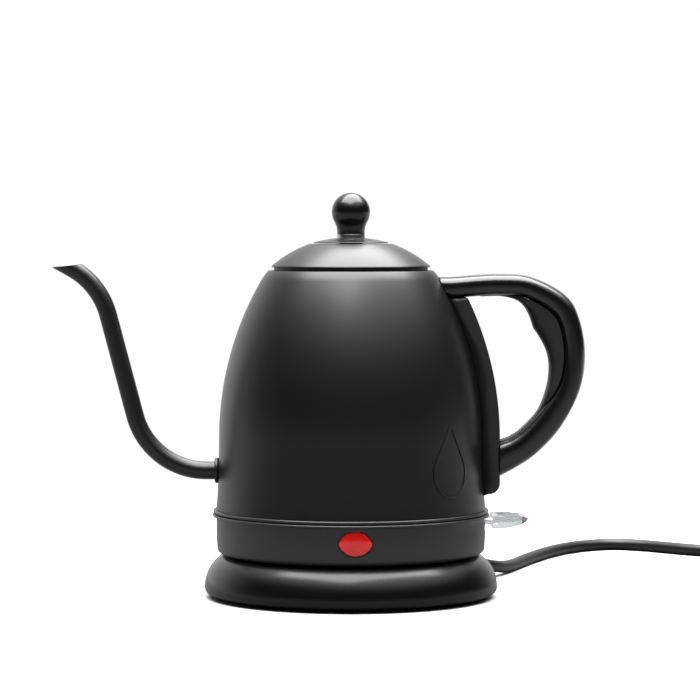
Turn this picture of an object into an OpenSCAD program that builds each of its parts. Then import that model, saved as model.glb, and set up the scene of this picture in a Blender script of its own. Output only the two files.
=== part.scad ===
// Gooseneck electric kettle on a cordless power base, with its mains lead.
// Millimetres, +Z up. Kettle and base share one upright axis. The spout points
// to -X and the handle to +X. The origin is on the table, in the middle of the
// footprint of kettle and base, so the upright axis stands a little off it.

/* [Power base] */
// Widest diameter of the base
base_d = 150.8; // [144:0.2:170]
// Height of the base's top face above the table
base_h = 22.5; // [21:0.5:27]
// Radius of the base's rounded flank
flank_r = 19; // [18:0.5:23]
// Height of the widest line of the base
belly_h = 5.5; // [4.5:0.5:7]
// Wall of the base's moulding
base_wall = 2.4; // [2:0.1:3]
// Thickness of the plate that closes the base from below
plate_t = 2.2; // [1.8:0.1:3]
// How far the feet hold the base above the table
foot_h = 1.8; // [1:0.1:2.5]
// Diameter of a rubber foot
foot_d = 12; // [8:1:16]
// Distance of the feet from the axis
foot_reach = 58; // [48:1:60]
// Distance of the base's screws from the axis
base_screw_reach = 46; // [38:1:52]

/* [Base connector] */
// Diameter of the round connector hub
hub_d = 34; // [32:1:38]
// Height of the hub above the base's top face
hub_h = 9; // [7:0.5:10]
// Wall of the ring contact that surrounds the hub
ring_wall = 1.25; // [1:0.05:2]
// Diameter of the kettle's centre contact pin
pin_d = 4.4; // [4:0.2:5.2]
// Diameter of the kettle's sleeve contact
sleeve_d = 18; // [16:0.5:20]

/* [Kettle body] */
// Diameter of the body at its waist, where it stands upright
body_d = 135.6; // [128:0.2:140]
// Wall of the steel body
body_wall = 0.6; // [0.5:0.1:1.2]
// Height of the waist, above which the body draws in
waist_h = 81.8; // [76:0.2:88]
// How far the body flares out again from its waist to its lower edge
body_flare = 1.4; // [0.6:0.1:2]
// Radius of the long curve that draws the body in
dome_r = 162.3; // [150:0.1:175]
// Slope of the body where the shoulder starts, from upright
shoulder_a = 30; // [27:1:33]
// Radius of the shoulder's curve
shoulder_r = 23.8; // [20:0.2:28]
// Slope of the shoulder at the mouth, from upright
mouth_a = 45.4; // [42:0.2:50]
// Height of the vessel's floor, its upper face
floor_h = 60.1; // [59:0.1:62]
// Thickness of the vessel's floor
floor_t = 1.2; // [1:0.1:2]

/* [Skirt] */
// How far the skirt band stands out beyond the waist
band_out = 1.5; // [1:0.1:2.4]
// Height of the band's upper edge above its lower edge
band_h = 20.5; // [19:0.5:23]
// Wall of the skirt band
band_wall = 1.95; // [1.5:0.05:2.5]
// How far the band's rolled upper lip stands out beyond the waist
lip_out = 3.4; // [2.8:0.1:4.6]
// Thickness of the rolled lip and of the trim ring
lip_t = 1.7; // [1.4:0.1:2.2]
// How far the trim ring stands out beyond the waist
trim_out = 3.1; // [2.2:0.1:4]
// Width of the indicator's window
window_w = 17; // [14:0.5:20]
// Height of the indicator's window
window_h = 12.2; // [10:0.2:13]
// Height of the window's middle above the band's lower edge
window_up = 11.2; // [9:0.2:12]
// Angle between the window and the middle of the front, towards the handle
window_a = 1.9; // [0:0.1:4]

/* [Spout] */
// Outer diameter of the spout at its root
spout_root_d = 9.2; // [8:0.1:11]
// Outer diameter of the spout at its mouth
spout_tip_d = 9.2; // [8:0.1:10]
// Wall of the spout
spout_wall = 0.6; // [0.5:0.1:1]
// Height of the spout's lowest point above the vessel's floor
spout_up = 0.2; // [0.1:0.1:4]
// Straight run between the body and the lower bend
spout_run = 6.5; // [5:0.5:12]
// Radius of the lower bend
lower_bend_r = 38; // [30:1:44]
// Lean of the spout's straight part, from upright
spout_lean = 14.8; // [10:0.1:20]
// Radius of the upper bend
upper_bend_r = 38.7; // [34:0.1:46]
// Slope of the spout's mouth above level
mouth_rise = 29.3; // [24:0.1:40]
// Tilt of the cut that opens the mouth
mouth_cut = 7.5; // [0:0.5:10]
// Height of the mouth's middle
mouth_h = 170.2; // [150:0.2:178]

/* [Handle] */
// How far the handle reaches from the axis
handle_reach = 120.2; // [112:0.2:135]
// Height of the handle's top face
handle_top_h = 166; // [163:0.2:167]
// Height of the handle's lower end, its middle
handle_foot_h = 71.5; // [70:0.5:76]
// Width of the handle, front to back
handle_w = 22; // [20:0.5:26]
// Thickness of the handle's upper bar
bar_t = 11.2; // [9.6:0.1:12]
// Thickness of the handle where the hand closes round it
side_t = 11.8; // [10:0.1:14]
// Thickness of the handle above its lower end
low_t = 14.6; // [12:0.1:17]
// Wall of the handle's shell
handle_wall = 2.2; // [1.8:0.1:2.6]
// How far the finger rest swells out of the handle
grip_swell = 11; // [6:0.5:12]
// Depth of the spine that runs down the body
spine_t = 8.5; // [7.5:0.1:11]
// Width of the spine
spine_w = 20; // [18:0.5:22]

/* [Lid] */
// Radius of the lid's dome
lid_r = 62.4; // [58:0.1:70]
// Gap between the lid and the body's mouth, seen from above
lid_gap = 1.35; // [0.9:0.05:1.6]
// Height of the dark seam between the body's mouth and the lid's edge
lid_seam = 1.5; // [0.6:0.1:1.8]
// Thickness of the lid's sheet
lid_t = 0.6; // [0.5:0.1:0.9]
// Diameter of the plate under the knob
knob_plate_d = 38.4; // [30:0.2:42]
// Diameter of the knob's ball
knob_d = 19.7; // [18:0.1:20.8]
// Diameter of the knob's neck
neck_d = 14.2; // [13:0.2:15]
// Radius of the curve that draws the ball into the neck
knob_fillet_r = 11; // [8:0.5:13]
// Height of the ball's middle above the plate under it
knob_up = 13; // [12.6:0.2:16]
// Height of the ring under the knob
knob_ring_h = 1.6; // [1:0.1:2]

/* [Switch lever] */
// How far the lever reaches beyond the body
lever_out = 23.8; // [19:0.1:29]
// Width of the lever's paddle
lever_w = 29; // [22:1:32]
// Height of the lever's pivot above the band's lower edge
pivot_up = 16.5; // [15.5:0.1:17]
// Distance of the pivot in from the body's wall
pivot_in = 12.8; // [12.2:0.1:13.6]
// Diameter of the pivot pin
pivot_d = 3; // [2.6:0.1:3.4]

/* [Clearances] */
// Gap between the kettle and the base it stands on
lift_gap = 0.3; // [0.2:0.05:0.5]
// Gap between the hub's ring contact and the kettle's socket
socket_gap = 0.9; // [0.5:0.1:1.5]
// Running clearance on the radius of a pin or ring
run_gap = 0.05; // [0.02:0.01:0.08]
// Gap round a piece that is fitted and stays put
fit_gap = 0.1; // [0.05:0.05:0.2]

/* [Mains lead] */
// Diameter of the round cord
cord_d = 6.8; // [6:0.1:7.5]
// Length of the strain relief outside the base
relief_l = 24; // [20:1:40]
// Direction in which the cord leaves the base, from +X
cord_a = 46; // [30:1:60]

/* [Hidden] */
$fn = 96;
eps = 0.01;

base_r = base_d / 2;
body_r = body_d / 2;
band_r = body_r + band_out;
lip_r = body_r + lip_out;
trim_r = body_r + trim_out;
lever_reach = body_r + lever_out;
hub_r = hub_d / 2;
cord_r = cord_d / 2;
plate_top = foot_h + plate_t;
toe_r = belly_h - foot_h;
plate_r = base_r - toe_r - 1.5;
base_under = base_h - base_wall;
hub_top = base_h + hub_h;
screw_r = 1.4;
screw_head_r = 2.8;
screw_head_h = 1.4;
boss_r = 4;

// Sockets and contacts that meet when the kettle stands on the base
ring_r = hub_r + run_gap + ring_wall;
socket_r = ring_r + socket_gap;
socket_wall = 4.8;
socket_top = hub_top + 0.5;
socket_lid = 4;
sleeve_wall = 1;
contact_wall = 0.6;
bore_slack = 1;
flange_t = 2.5;

// Levels of the skirt
band_low = base_h + lift_gap;
band_top = band_low + band_h;
lip_low = band_top - lip_t;
trim_low = band_top + 0.3;
body_low = trim_low + lip_t + 0.1;
flare_h = waist_h - body_low;
flare_r = (pow(flare_h, 2) + pow(body_flare, 2)) / (2 * body_flare);
band_inner_r = band_r - band_wall;
spigot_r = band_inner_r - run_gap;
spigot_low = band_top - 3.3;
cover_low = band_low + 2;
cover_t = 2;
cover_top = cover_low + cover_t;
band_flange_r = band_inner_r - 6;
floor_low = floor_h - floor_t;

// Curve of the body
waist_x = body_r - dome_r;
shoulder_z = waist_h + dome_r * sin(shoulder_a);
shoulder_cx = waist_x + (dome_r - shoulder_r) * cos(shoulder_a);
shoulder_cz = waist_h + (dome_r - shoulder_r) * sin(shoulder_a);
mouth_r = shoulder_cx + shoulder_r * cos(mouth_a);
mouth_z = shoulder_cz + shoulder_r * sin(mouth_a);
ledge_z = mouth_z - 3.1;
ledge_w = 2.8;
throat_r = mouth_r - ledge_w;
throat_low = ledge_z - 3;

// Lid and knob
lid_edge_r = mouth_r - lid_gap;
lid_edge_z = mouth_z + lid_seam;
lid_cz = lid_edge_z + lid_t - sqrt(pow(lid_r, 2) - pow(lid_edge_r, 2));
lid_low = ledge_z + lift_gap;
seam_depth = 1.3;
lid_wall_r = lid_edge_r - seam_depth;
knob_plate_r = knob_plate_d / 2;
crown_r = 74;
knob_plate_t = 1;
knob_plate_gap = 0.35;
knob_plate_rim = 0.45;
knob_plate_foot_r = 6;
seat_r = knob_plate_r + 2.2;
seat_z = lid_cz + sqrt(pow(lid_r, 2) - pow(seat_r, 2));
crown_cz = seat_z + knob_plate_gap + knob_plate_rim - sqrt(pow(crown_r, 2) - pow(knob_plate_r, 2));
knob_plate_top = crown_cz + crown_r;
knob_screw_r = 1.6;
knob_bore_r = knob_screw_r + 0.3;
liner_r = throat_r - 1;
liner_low = ledge_z - 7.6;
liner_t = 1.4;
knob_cz = knob_plate_top + knob_up;
knob_r = knob_d / 2;
neck_r = neck_d / 2;
fillet_drop = sqrt(pow(knob_r + knob_fillet_r, 2) - pow(neck_r + knob_fillet_r, 2));
ring_edge_r = neck_r + 0.2;
ring_top = knob_plate_top + knob_ring_h;

// Spout
spout_r = spout_root_d / 2;
tip_r = spout_tip_d / 2;
spout_z = floor_h + spout_up + spout_r;
bend_x = -(body_r + spout_run);
rise_a = 90 - spout_lean;
tip_run = 2.6;
low_end = [bend_x - lower_bend_r * sin(rise_a), spout_z + lower_bend_r * (1 - cos(rise_a))];
high_start_z = mouth_h - tip_run * sin(mouth_rise)
    - upper_bend_r * (cos(mouth_rise) - cos(rise_a));
spout_l = (high_start_z - low_end[1]) / sin(rise_a);
high_start = low_end + spout_l * [-cos(rise_a), sin(rise_a)];
high_centre = high_start - upper_bend_r * [sin(rise_a), cos(rise_a)];
high_end = high_centre + upper_bend_r * [sin(mouth_rise), cos(mouth_rise)];
mouth = high_end + tip_run * [-cos(mouth_rise), sin(mouth_rise)];
spout_reach = tip_r / sin(mouth_rise + mouth_cut) * cos(mouth_cut) - mouth[0];
collar_r = spout_r + 1.9;
collar_t = 2;

// The origin is the middle of the footprint
axis_x = (spout_reach - handle_reach) / 2;

// Control and heater
spreader_r = 0.68 * body_r;
spreader_t = 3;
element_ring_r = 0.5 * body_r;
element_r = 3.3;
spreader_low = floor_low - spreader_t;
element_z = spreader_low - element_r;
terminal_r = 1.7;
terminal_out = 6;
terminal_drop = 9;
disc_t = 0.8;
control_r = 21;
control_low = socket_top + socket_lid;
control_top = spreader_low - disc_t;
stud_reach = body_r - 13.8;
stud_l = 13;
stud_hole_l = 9;
stud_r = 3;
post_r = 4;
stud_low = floor_low - stud_l;
post_pocket = 6;
screw_bite = 6.6;
stud_angles = [60, 180, 300];

// Steam duct
steam_hole_r = 1.8;
steam_tube_r = 2.6;
steam_tube_wall = 0.8;
steam_z = floor_low - steam_tube_r - 0.3;
steam_bend_r = 9;
steam_in_up = 62;

// Switch lever
pivot_z = band_low + pivot_up;
pivot_reach = body_r - pivot_in;
steam_x = pivot_reach - 8;
pivot_r = pivot_d / 2;
hub_lever_r = pivot_r + 2.1;
lever_neck_w = 16;
lever_neck_t = 3.4;
ear_gap = 0.6;
ear_t = 3.4;
switch_top = cover_top + 6.7;
paddle_x = lip_r + 1.1;

// Handle
spine_x = body_r + spine_t;
bar_z = handle_top_h - bar_t / 2;
side_x = handle_reach - side_t / 2;
spine_low = spigot_low + 13.3;
spine_curve_r = 0.97 * (dome_r + spine_t);
spine_wall = 2;
spine_slot = 11;
handle_fn = 20;

function arc(cx, cz, r, from, to, n) =
    [for (i = [0:n]) let (a = from + (to - from) * i / n) [cx + r * cos(a), cz + r * sin(a)]];
// Outer radius of the body at a height on its flare or its long curve
function body_at(z, grow = 0) =
    z < waist_h ? body_r + flare_r - sqrt(pow(flare_r, 2) - pow(waist_h - z, 2)) + grow
    : waist_x + sqrt(pow(dome_r + grow, 2) - pow(z - waist_h, 2));
// The flare's line from the body's lower edge nearly to the waist
function flare_line(grow) =
    [for (i = [0:11]) let (z = body_low + flare_h * i / 12) [body_at(z, grow), z]];
function body_outer(grow) = concat(
    flare_line(grow),
    arc(waist_x, waist_h, dome_r + grow, 0, shoulder_a, 48),
    arc(shoulder_cx, shoulder_cz, shoulder_r + grow, shoulder_a, mouth_a, 12));
function lid_z(r, drop = 0) = lid_cz + sqrt(pow(lid_r - drop, 2) - pow(r, 2));
function crown_z(r) = crown_cz + sqrt(pow(crown_r, 2) - pow(r, 2));

module placed() translate([axis_x, 0, 0]) children();
module turned(a) rotate([0, 0, a]) children();
module round_set(n, reach, first = 0)
    for (i = [0:n - 1]) turned(first + 360 * i / n) translate([reach, 0, 0]) children();
module tube(r_out, r_in, h) difference() {
    cylinder(r = r_out, h = h);
    translate([0, 0, -eps]) cylinder(r = r_in, h = h + 2 * eps);
}
// The body's outside as a solid, which pieces shaped to the body are cut with
module body_solid(grow) rotate_extrude()
    polygon(concat([[0, 0], [body_at(body_low, grow), 0]], body_outer(grow), [[0, mouth_z]]));
// Joins rings of points, one after the other, into one closed solid. A looped
// skin also joins its last ring to its first, and any other has its ends given.
module skin(rings, ends = [], looped = false) {
    m = len(rings[0]);
    n = len(rings);
    sides = [for (i = [0:n - (looped ? 1 : 2)], k = [0:m - 1])
        let (a = i * m, b = (i + 1) % n * m, l = (k + 1) % m)
        each [[a + k, a + l, b + l], [a + k, b + l, b + k]]];
    polyhedron(points = [for (r = rings) each r], faces = concat(sides, ends), convexity = 10);
}
// Flat ends for a skin whose rings are round or nearly so
function plain_ends(m, n) = [[for (k = [m - 1:-1:0]) k], [for (k = [0:m - 1]) (n - 1) * m + k]];
// Lies along the outgoing cord, from a distance to the axis
module along_cord(from) turned(cord_a) translate([from, 0, cord_exit_z]) rotate([0, 90, 0]) children();
// Lies along +X at a height
module along_x(from, z) translate([from, 0, z]) rotate([0, 90, 0]) children();

/* ---- power base ---- */
cord_exit_z = plate_top + cord_r + 0.4;
relief_tip = base_r + relief_l - 2;
clamp_reach = base_r - 18;
tail_in = clamp_reach - 6;
clamp_w = cord_d + 9;
clamp_h = cord_exit_z - plate_top + cord_r + 2.4;
clamp_screw_r = 1.15;
clamp_bite = 0.9;
module clamp_screw_set() turned(cord_a) for (side = [-1, 1])
    translate([clamp_reach, side * (clamp_w / 2 - 2.1), plate_top]) children();

module base_housing() color("#1b1b1c") {
    inner_flank = flank_r - base_wall;
    cx = base_r - flank_r;
    top_a = asin((base_h - belly_h) / flank_r);
    inner_a = asin((base_under - belly_h) / inner_flank);
    hole_r = hub_r + fit_gap;
    outline = concat(
        [[hole_r, base_under]],
        arc(cx, belly_h, inner_flank, inner_a, 0, 16),
        [[base_r - base_wall, plate_top], [plate_r + fit_gap, plate_top], [plate_r + fit_gap, foot_h]],
        arc(base_r - toe_r, foot_h + toe_r, toe_r, -90, 0, 10),
        arc(cx, belly_h, flank_r, 0, top_a, 28),
        [[hole_r, base_h]]);
    difference() {
        union() {
            rotate_extrude() polygon(outline);
            round_set(3, base_screw_reach) translate([0, 0, plate_top])
                cylinder(r = boss_r, h = base_under - plate_top + eps);
        }
        round_set(3, base_screw_reach) translate([0, 0, plate_top - eps])
            cylinder(r = screw_r + run_gap, h = 10);
        along_cord(base_r - 8) cylinder(r = relief_neck_r + run_gap, h = 12);
    }
}

foot_sink = 0.8;
connector_low = plate_top + 3.5;
stem_r = hub_r - 2.5;

module base_plate() color("#232324") {
    difference() {
        union() {
            translate([0, 0, foot_h]) cylinder(r = plate_r, h = plate_t);
            translate([0, 0, plate_top - eps])
                tube(stem_r - 0.5, stem_r - 3, connector_low - plate_top + eps);
        }
        round_set(3, base_screw_reach) {
            translate([0, 0, foot_h - eps]) cylinder(r = screw_head_r + fit_gap, h = screw_head_h + eps);
            translate([0, 0, foot_h]) cylinder(r = screw_r + 0.3, h = plate_t + eps);
        }
        round_set(4, foot_reach, 45) translate([0, 0, foot_h - eps])
            cylinder(r = foot_d / 2, h = foot_sink + eps);
        clamp_screw_set() translate([0, 0, -clamp_bite]) cylinder(r = clamp_screw_r, h = 4);
    }
}

module base_feet() color("#2c2c2c") round_set(4, foot_reach, 45)
    cylinder(r = foot_d / 2, h = foot_h + foot_sink);

base_screw_bite = 8;
module base_screws() color("silver") round_set(3, base_screw_reach) translate([0, 0, foot_h]) {
    cylinder(r = screw_head_r, h = screw_head_h);
    cylinder(r = screw_r, h = plate_t + base_screw_bite);
}

pin_bore_r = pin_d / 2 + bore_slack;
groove_in = sleeve_d / 2 - sleeve_wall - bore_slack;
groove_out = sleeve_d / 2 + bore_slack;
contact_floor = base_under - 1;

module base_connector() color("#303033") difference() {
    union() {
        translate([0, 0, connector_low]) cylinder(r = stem_r, h = hub_top - connector_low);
        translate([0, 0, base_under - flange_t]) cylinder(r = hub_r + 5, h = flange_t);
        translate([0, 0, base_under - eps]) cylinder(r = hub_r, h = hub_top - base_under + eps);
    }
    translate([0, 0, contact_floor]) cylinder(r = pin_bore_r, h = hub_top);
    translate([0, 0, contact_floor]) tube(groove_out, groove_in, hub_top);
}

module base_contacts() color("goldenrod") translate([0, 0, contact_floor]) {
    tube(pin_bore_r, pin_bore_r - contact_wall, 8);
    tube(groove_out, groove_out - contact_wall, 8);
}

module base_contact_ring() color("#b9a06a") translate([0, 0, base_h + lift_gap])
    tube(ring_r, hub_r + run_gap, hub_h - 1.2);

module base_wires() for (side = [-1, 0, 1])
    color(side < 0 ? "saddlebrown" : side > 0 ? "steelblue" : "yellowgreen")
        turned(cord_a) translate([stem_r + eps, side * 2.6, cord_exit_z]) rotate([0, 90, 0])
            cylinder(r = 1.1, h = tail_in - stem_r - eps);

module cord_clamp() color("#3a3a3c") difference() {
    turned(cord_a) translate([clamp_reach - 3, -clamp_w / 2, plate_top]) cube([6, clamp_w, clamp_h]);
    along_cord(clamp_reach - 4) cylinder(r = cord_r, h = 8);
    clamp_screw_set() translate([0, 0, -eps]) cylinder(r = clamp_screw_r + run_gap, h = clamp_h + 1);
}

module clamp_screws() color("silver") clamp_screw_set() {
    translate([0, 0, -clamp_bite]) cylinder(r = clamp_screw_r, h = clamp_h + clamp_bite);
    translate([0, 0, clamp_h]) cylinder(r = 2.1, h = 1.2);
}

relief_neck_r = cord_r + 1.4;
relief_in = base_r - base_wall - 5.4;
module strain_relief() color("#161616") difference() {
    union() {
        intersection() {
            union() {
                along_cord(relief_in) cylinder(r = relief_neck_r + 1.4, h = 2);
                along_cord(relief_in) cylinder(r = relief_neck_r, h = 5);
            }
            translate([0, 0, plate_top + fit_gap]) cylinder(r = base_r, h = base_h);
        }
        along_cord(plate_r + 0.5) cylinder(r = relief_neck_r, h = base_r + 1 - plate_r);
        along_cord(base_r + 0.4) cylinder(r1 = relief_neck_r + 0.6, r2 = cord_r + 0.7, h = relief_l - 2.4);
    }
    along_cord(0) cylinder(r = cord_r + run_gap, h = relief_tip + 1);
}

module cord_tail() color("#121212") along_cord(tail_in) cylinder(r = cord_r, h = relief_tip - tail_in);

/* ---- mains lead on the table ---- */
coil_at = [256, 137.5];
coil_r = 40;
tie_t = 0.6;
coil_z = tie_t + cord_r;
cord_sides = 10;
plug_z = 10;
// Points of the route, from the end of the strain relief to the coil
route = concat(
    [for (reach = [relief_tip, relief_tip + 3])
        [reach * cos(cord_a), reach * sin(cord_a), cord_exit_z]],
    [[77, 82, 6.2], [84, 97, 4.2], [90, 114, cord_r], [97, 135, cord_r], [105.5, 158, cord_r],
     [115.5, 181, cord_r], [127, 200, cord_r], [140, 213, cord_r], [155, 219, cord_r],
     [170, 213, cord_r], [183, 202, cord_r], [196, 190, cord_r], [210, 181.5, cord_r],
     [226, 177.5, cord_r], [244, 177, 3.8], [256, 177.5, coil_z]]);
// Points of the route from the top of the coil to the plug
end_route = [
    [296, 137.5, coil_z + cord_d], [296, 127, 10.4], [296, 116, 8.4], [296, 105, 5.4],
    [296, 94, 3.6], [296, 84, 3.9], [296, 73, 6], [296, 62, 8.7], [296, 52, plug_z],
    [296, 49, plug_z]];

function unit(v) = v / norm(v);
function cord_ring(points, i) =
    let (last = len(points) - 1,
        t = unit(points[min(i + 1, last)] - points[max(i - 1, 0)]),
        side = unit(cross(t, [0, 0, 1])), over = cross(side, t))
    [for (k = [0:cord_sides - 1]) let (a = 360 * k / cord_sides)
        points[i] + cord_r * (cos(a) * side + sin(a) * over)];
module cord_along(points) color("#121212") skin(
    [for (i = [0:len(points) - 1]) cord_ring(points, i)], plain_ends(cord_sides, len(points)));

module cord() cord_along(route);
module cord_end() cord_along(end_route);

// One turn on the table, and above it the start of the next, which leads to the plug
module cord_coil() color("#121212") translate([coil_at[0], coil_at[1], 0]) {
    rotate_extrude() translate([coil_r, coil_z]) circle(r = cord_r, $fn = 32);
    rotate_extrude(angle = 140) {
        translate([coil_r, coil_z + cord_d]) circle(r = cord_r, $fn = 32);
        translate([coil_r - cord_r, coil_z]) square([cord_d, cord_d]);
    }
}

module cord_tie() color("#3b3b3b") translate([coil_at[0], coil_at[1], 0]) turned(50) difference() {
    slack = 0.2;
    outer_w = cord_d + 2 * (slack + tie_t);
    translate([coil_r - outer_w / 2, -3, 0]) cube([outer_w, 6, 2 * cord_d + 2 * tie_t + slack]);
    translate([coil_r - cord_r - slack, -3 - eps, tie_t])
        cube([cord_d + 2 * slack, 6 + 2 * eps, 2 * cord_d + slack]);
}

// Plug with two flat blades and a round earth pin, lying on its side
plug_at = end_route[len(end_route) - 1];
plug_l = 24;
plug_neck_l = 14;
plug_w = 25;
module plug_pose() translate([plug_at[0], plug_at[1], 0]) children();
module plug_body() color("#161616") plug_pose() difference() {
    union() {
        translate([0, 0, plug_z]) rotate([90, 0, 0])
            cylinder(r1 = cord_r + 0.9, r2 = cord_r + 3.2, h = plug_neck_l + eps);
        translate([-plug_w / 2, -plug_neck_l - plug_l, 0]) {
            translate([3, 0, 0]) cube([plug_w - 6, plug_l, 2 * plug_z]);
            translate([0, 0, 3]) cube([plug_w, plug_l, 2 * plug_z - 6]);
            for (x = [3, plug_w - 3], z = [3, 2 * plug_z - 3]) translate([x, plug_l, z])
                rotate([90, 0, 0]) cylinder(r = 3, h = plug_l, $fn = 48);
        }
    }
    translate([0, -plug_neck_l - plug_l, 0]) plug_holes(3);
}
blade = [1.5, 6.3];
blade_gap = 12.7;
module plug_holes(depth) {
    for (side = [-1, 1]) translate([-4 - blade[1] / 2, -eps, plug_z + side * blade_gap / 2 - blade[0] / 2])
        cube([blade[1], depth + eps, blade[0]]);
    translate([7.9, depth, plug_z]) rotate([90, 0, 0]) cylinder(r = 2.4, h = depth + eps);
}
module plug_blades() color("silver") plug_pose() for (side = [-1, 1])
    translate([-4 - blade[1] / 2, -plug_neck_l - plug_l - 16, plug_z + side * blade_gap / 2 - blade[0] / 2])
        cube([blade[1], 19, blade[0]]);
module plug_earth_pin() color("silver") plug_pose()
    translate([7.9, -plug_neck_l - plug_l + 3, plug_z]) rotate([90, 0, 0]) {
        cylinder(r = 2.4, h = 20);
        translate([0, 0, 20]) cylinder(r1 = 2.4, r2 = 1.4, h = 2);
    }

/* ---- kettle body ---- */
module window_outline(grow) {
    half_h = window_h / 2 + grow;
    half_w = window_w / 2 + grow;
    big_r = (pow(half_w, 2) / half_h + half_h) / 2;
    intersection() {
        translate([0, big_r - half_h]) circle(r = big_r);
        translate([0, half_h - big_r]) circle(r = big_r);
    }
}
window_z = band_low + window_up;
module window_prism(grow) turned(window_a) translate([0, 0, window_z]) rotate([90, 0, 0])
    linear_extrude(height = band_r + 10) window_outline(grow);

// Plain droplet outline raised on the body
drop_r = 12.5;
drop_line = 1.3;
drop_relief = 0.35;
drop_a = 47.5;
drop_z = waist_h - 14.5;
module drop_outline(r) {
    circle(r = r);
    polygon([[-r * cos(30), r * sin(30)], [0, 2 * r], [r * cos(30), r * sin(30)]]);
}
module body_motif() color("#2a2a2b") intersection() {
    turned(drop_a) translate([0, 0, drop_z]) rotate([90, 0, 0])
        linear_extrude(height = body_r + 5) difference() {
            drop_outline(drop_r);
            drop_outline(drop_r - drop_line);
        }
    difference() {
        body_solid(drop_relief);
        body_solid(0);
    }
}

module lever_slot() translate([pivot_reach, -lever_neck_w / 2 - 0.8, pivot_z - 5.4])
    cube([body_r, lever_neck_w + 1.6, 7.6]);

// Height of the shell's inside at a radius near the mouth
function under_shoulder(r) =
    shoulder_cz + sqrt(pow(shoulder_r - body_wall, 2) - pow(r - shoulder_cx, 2));

module vessel_shell() color("#2a2a2b") {
    w = body_wall;
    inner_a = asin((under_shoulder(mouth_r) - shoulder_cz) / (shoulder_r - w));
    inside = flare_line(-w);
    outline = concat(
        body_outer(0),
        arc(shoulder_cx, shoulder_cz, shoulder_r - w, inner_a, shoulder_a, 12),
        arc(waist_x, waist_h, dome_r - w, shoulder_a, 0, 48),
        [for (i = [len(inside) - 1:-1:0]) inside[i]]);
    difference() {
        rotate_extrude() polygon(outline);
        translate([0, 0, spout_z]) rotate([0, -90, 0]) cylinder(r = spout_r + run_gap, h = body_r + 5);
        along_x(0, steam_z) cylinder(r = steam_hole_r, h = body_r + 5);
        along_x(0, steam_in_z) cylinder(r = steam_hole_r, h = body_r + 5);
    }
}

// Ring rolled into the mouth, which the lid rests on
module mouth_ring() color("silver") {
    w = body_wall;
    rotate_extrude() polygon([
        [mouth_r, ledge_z], [throat_r, ledge_z], [throat_r, throat_low], [throat_r + w, throat_low],
        [throat_r + w, ledge_z - w], [mouth_r + w, ledge_z - w],
        [mouth_r + w, under_shoulder(mouth_r + w)], [mouth_r, under_shoulder(mouth_r)]]);
}

// Sleeve lapped inside the body, which the trim ring and the band fit round
module body_sleeve() color("silver") difference() {
    w = body_wall;
    lap = [for (i = [0:4]) let (z = body_low + w + (sleeve_lap - w) * i / 4) [body_at(z, -w - eps), z]];
    rotate_extrude() polygon(concat(
        [[spigot_r, spigot_low], [spigot_r, body_low]], lap,
        [for (i = [4:-1:1]) lap[i] - [w, 0]],
        [[lap[0][0] - w, body_low + 2 * w], [spigot_r - w, body_low + w], [spigot_r - w, spigot_low]]));
    lever_slot();
}
sleeve_lap = 5;
steam_in_z = waist_h + steam_in_up;

module vessel_floor() color("silver") translate([0, 0, floor_low])
    cylinder(r1 = body_at(floor_low, -body_wall), r2 = body_at(floor_h, -body_wall), h = floor_t);

module heat_spreader() color("#b8bbbe") translate([0, 0, spreader_low])
    cylinder(r = spreader_r, h = spreader_t);

module heating_element() color("#8c8f92") translate([0, 0, element_z])
    rotate_extrude(angle = 300, start = -150) translate([element_ring_r, 0])
        circle(r = element_r, $fn = 48);

module element_terminals() color("#c9ccd0") for (side = [0, 1]) mirror([0, side, 0]) turned(150)
    translate([element_ring_r, 0, element_z]) {
        rotate([-90, 0, 0]) cylinder(r = terminal_r, h = terminal_out);
        translate([0, terminal_out, 0]) sphere(r = terminal_r);
        translate([0, terminal_out, -terminal_drop]) cylinder(r = terminal_r, h = terminal_drop);
    }

module floor_studs() color("silver") for (a = stud_angles) turned(a)
    translate([stud_reach, 0, stud_low]) difference() {
        cylinder(r = stud_r, h = floor_low - stud_low);
        translate([0, 0, -eps]) cylinder(r = screw_r + run_gap, h = stud_hole_l);
    }

// Stations along the spout: x, z, heading, radius
spout_stations = concat(
    [[0.6 - body_at(spout_z, -body_wall), spout_z, 180, spout_r]],
    [for (i = [0:12]) let (a = rise_a * i / 12) [bend_x - lower_bend_r * sin(a),
        spout_z + lower_bend_r * (1 - cos(a)), 180 - a, spout_r]],
    [for (i = [0:8]) let (a = rise_a + (mouth_rise - rise_a) * i / 8)
        [high_centre[0] + upper_bend_r * sin(a), high_centre[1] + upper_bend_r * cos(a), 180 - a, tip_r]],
    [[mouth[0], mouth[1], 180 - mouth_rise, tip_r]]);
function spout_ring(f, inset) = [for (k = [0:31]) let (a = 360 * k / 32, r = f[3] - inset)
    [f[0] - r * sin(a) * sin(f[2]), -r * cos(a), f[1] + r * sin(a) * cos(f[2])]];
// Moves a point along the last heading on to the plane that cuts the mouth
function on_cut(p) =
    let (over = (p[0] - mouth[0]) * sin(mouth_cut) - (p[2] - mouth[1]) * cos(mouth_cut),
        way = over / sin(mouth_rise + mouth_cut))
    [p[0] - way * cos(mouth_rise), p[1], p[2] + way * sin(mouth_rise)];
function spout_wall_rings(inset) = let (last = len(spout_stations) - 1) concat(
    [for (i = [0:last - 1]) spout_ring(spout_stations[i], inset)],
    [[for (p = spout_ring(spout_stations[last], inset)) on_cut(p)]]);

module spout_tube() color("#262627") {
    outer = spout_wall_rings(0);
    inner = spout_wall_rings(spout_wall);
    skin(concat(outer, [for (i = [len(inner) - 1:-1:0]) inner[i]]), looped = true);
}

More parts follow.
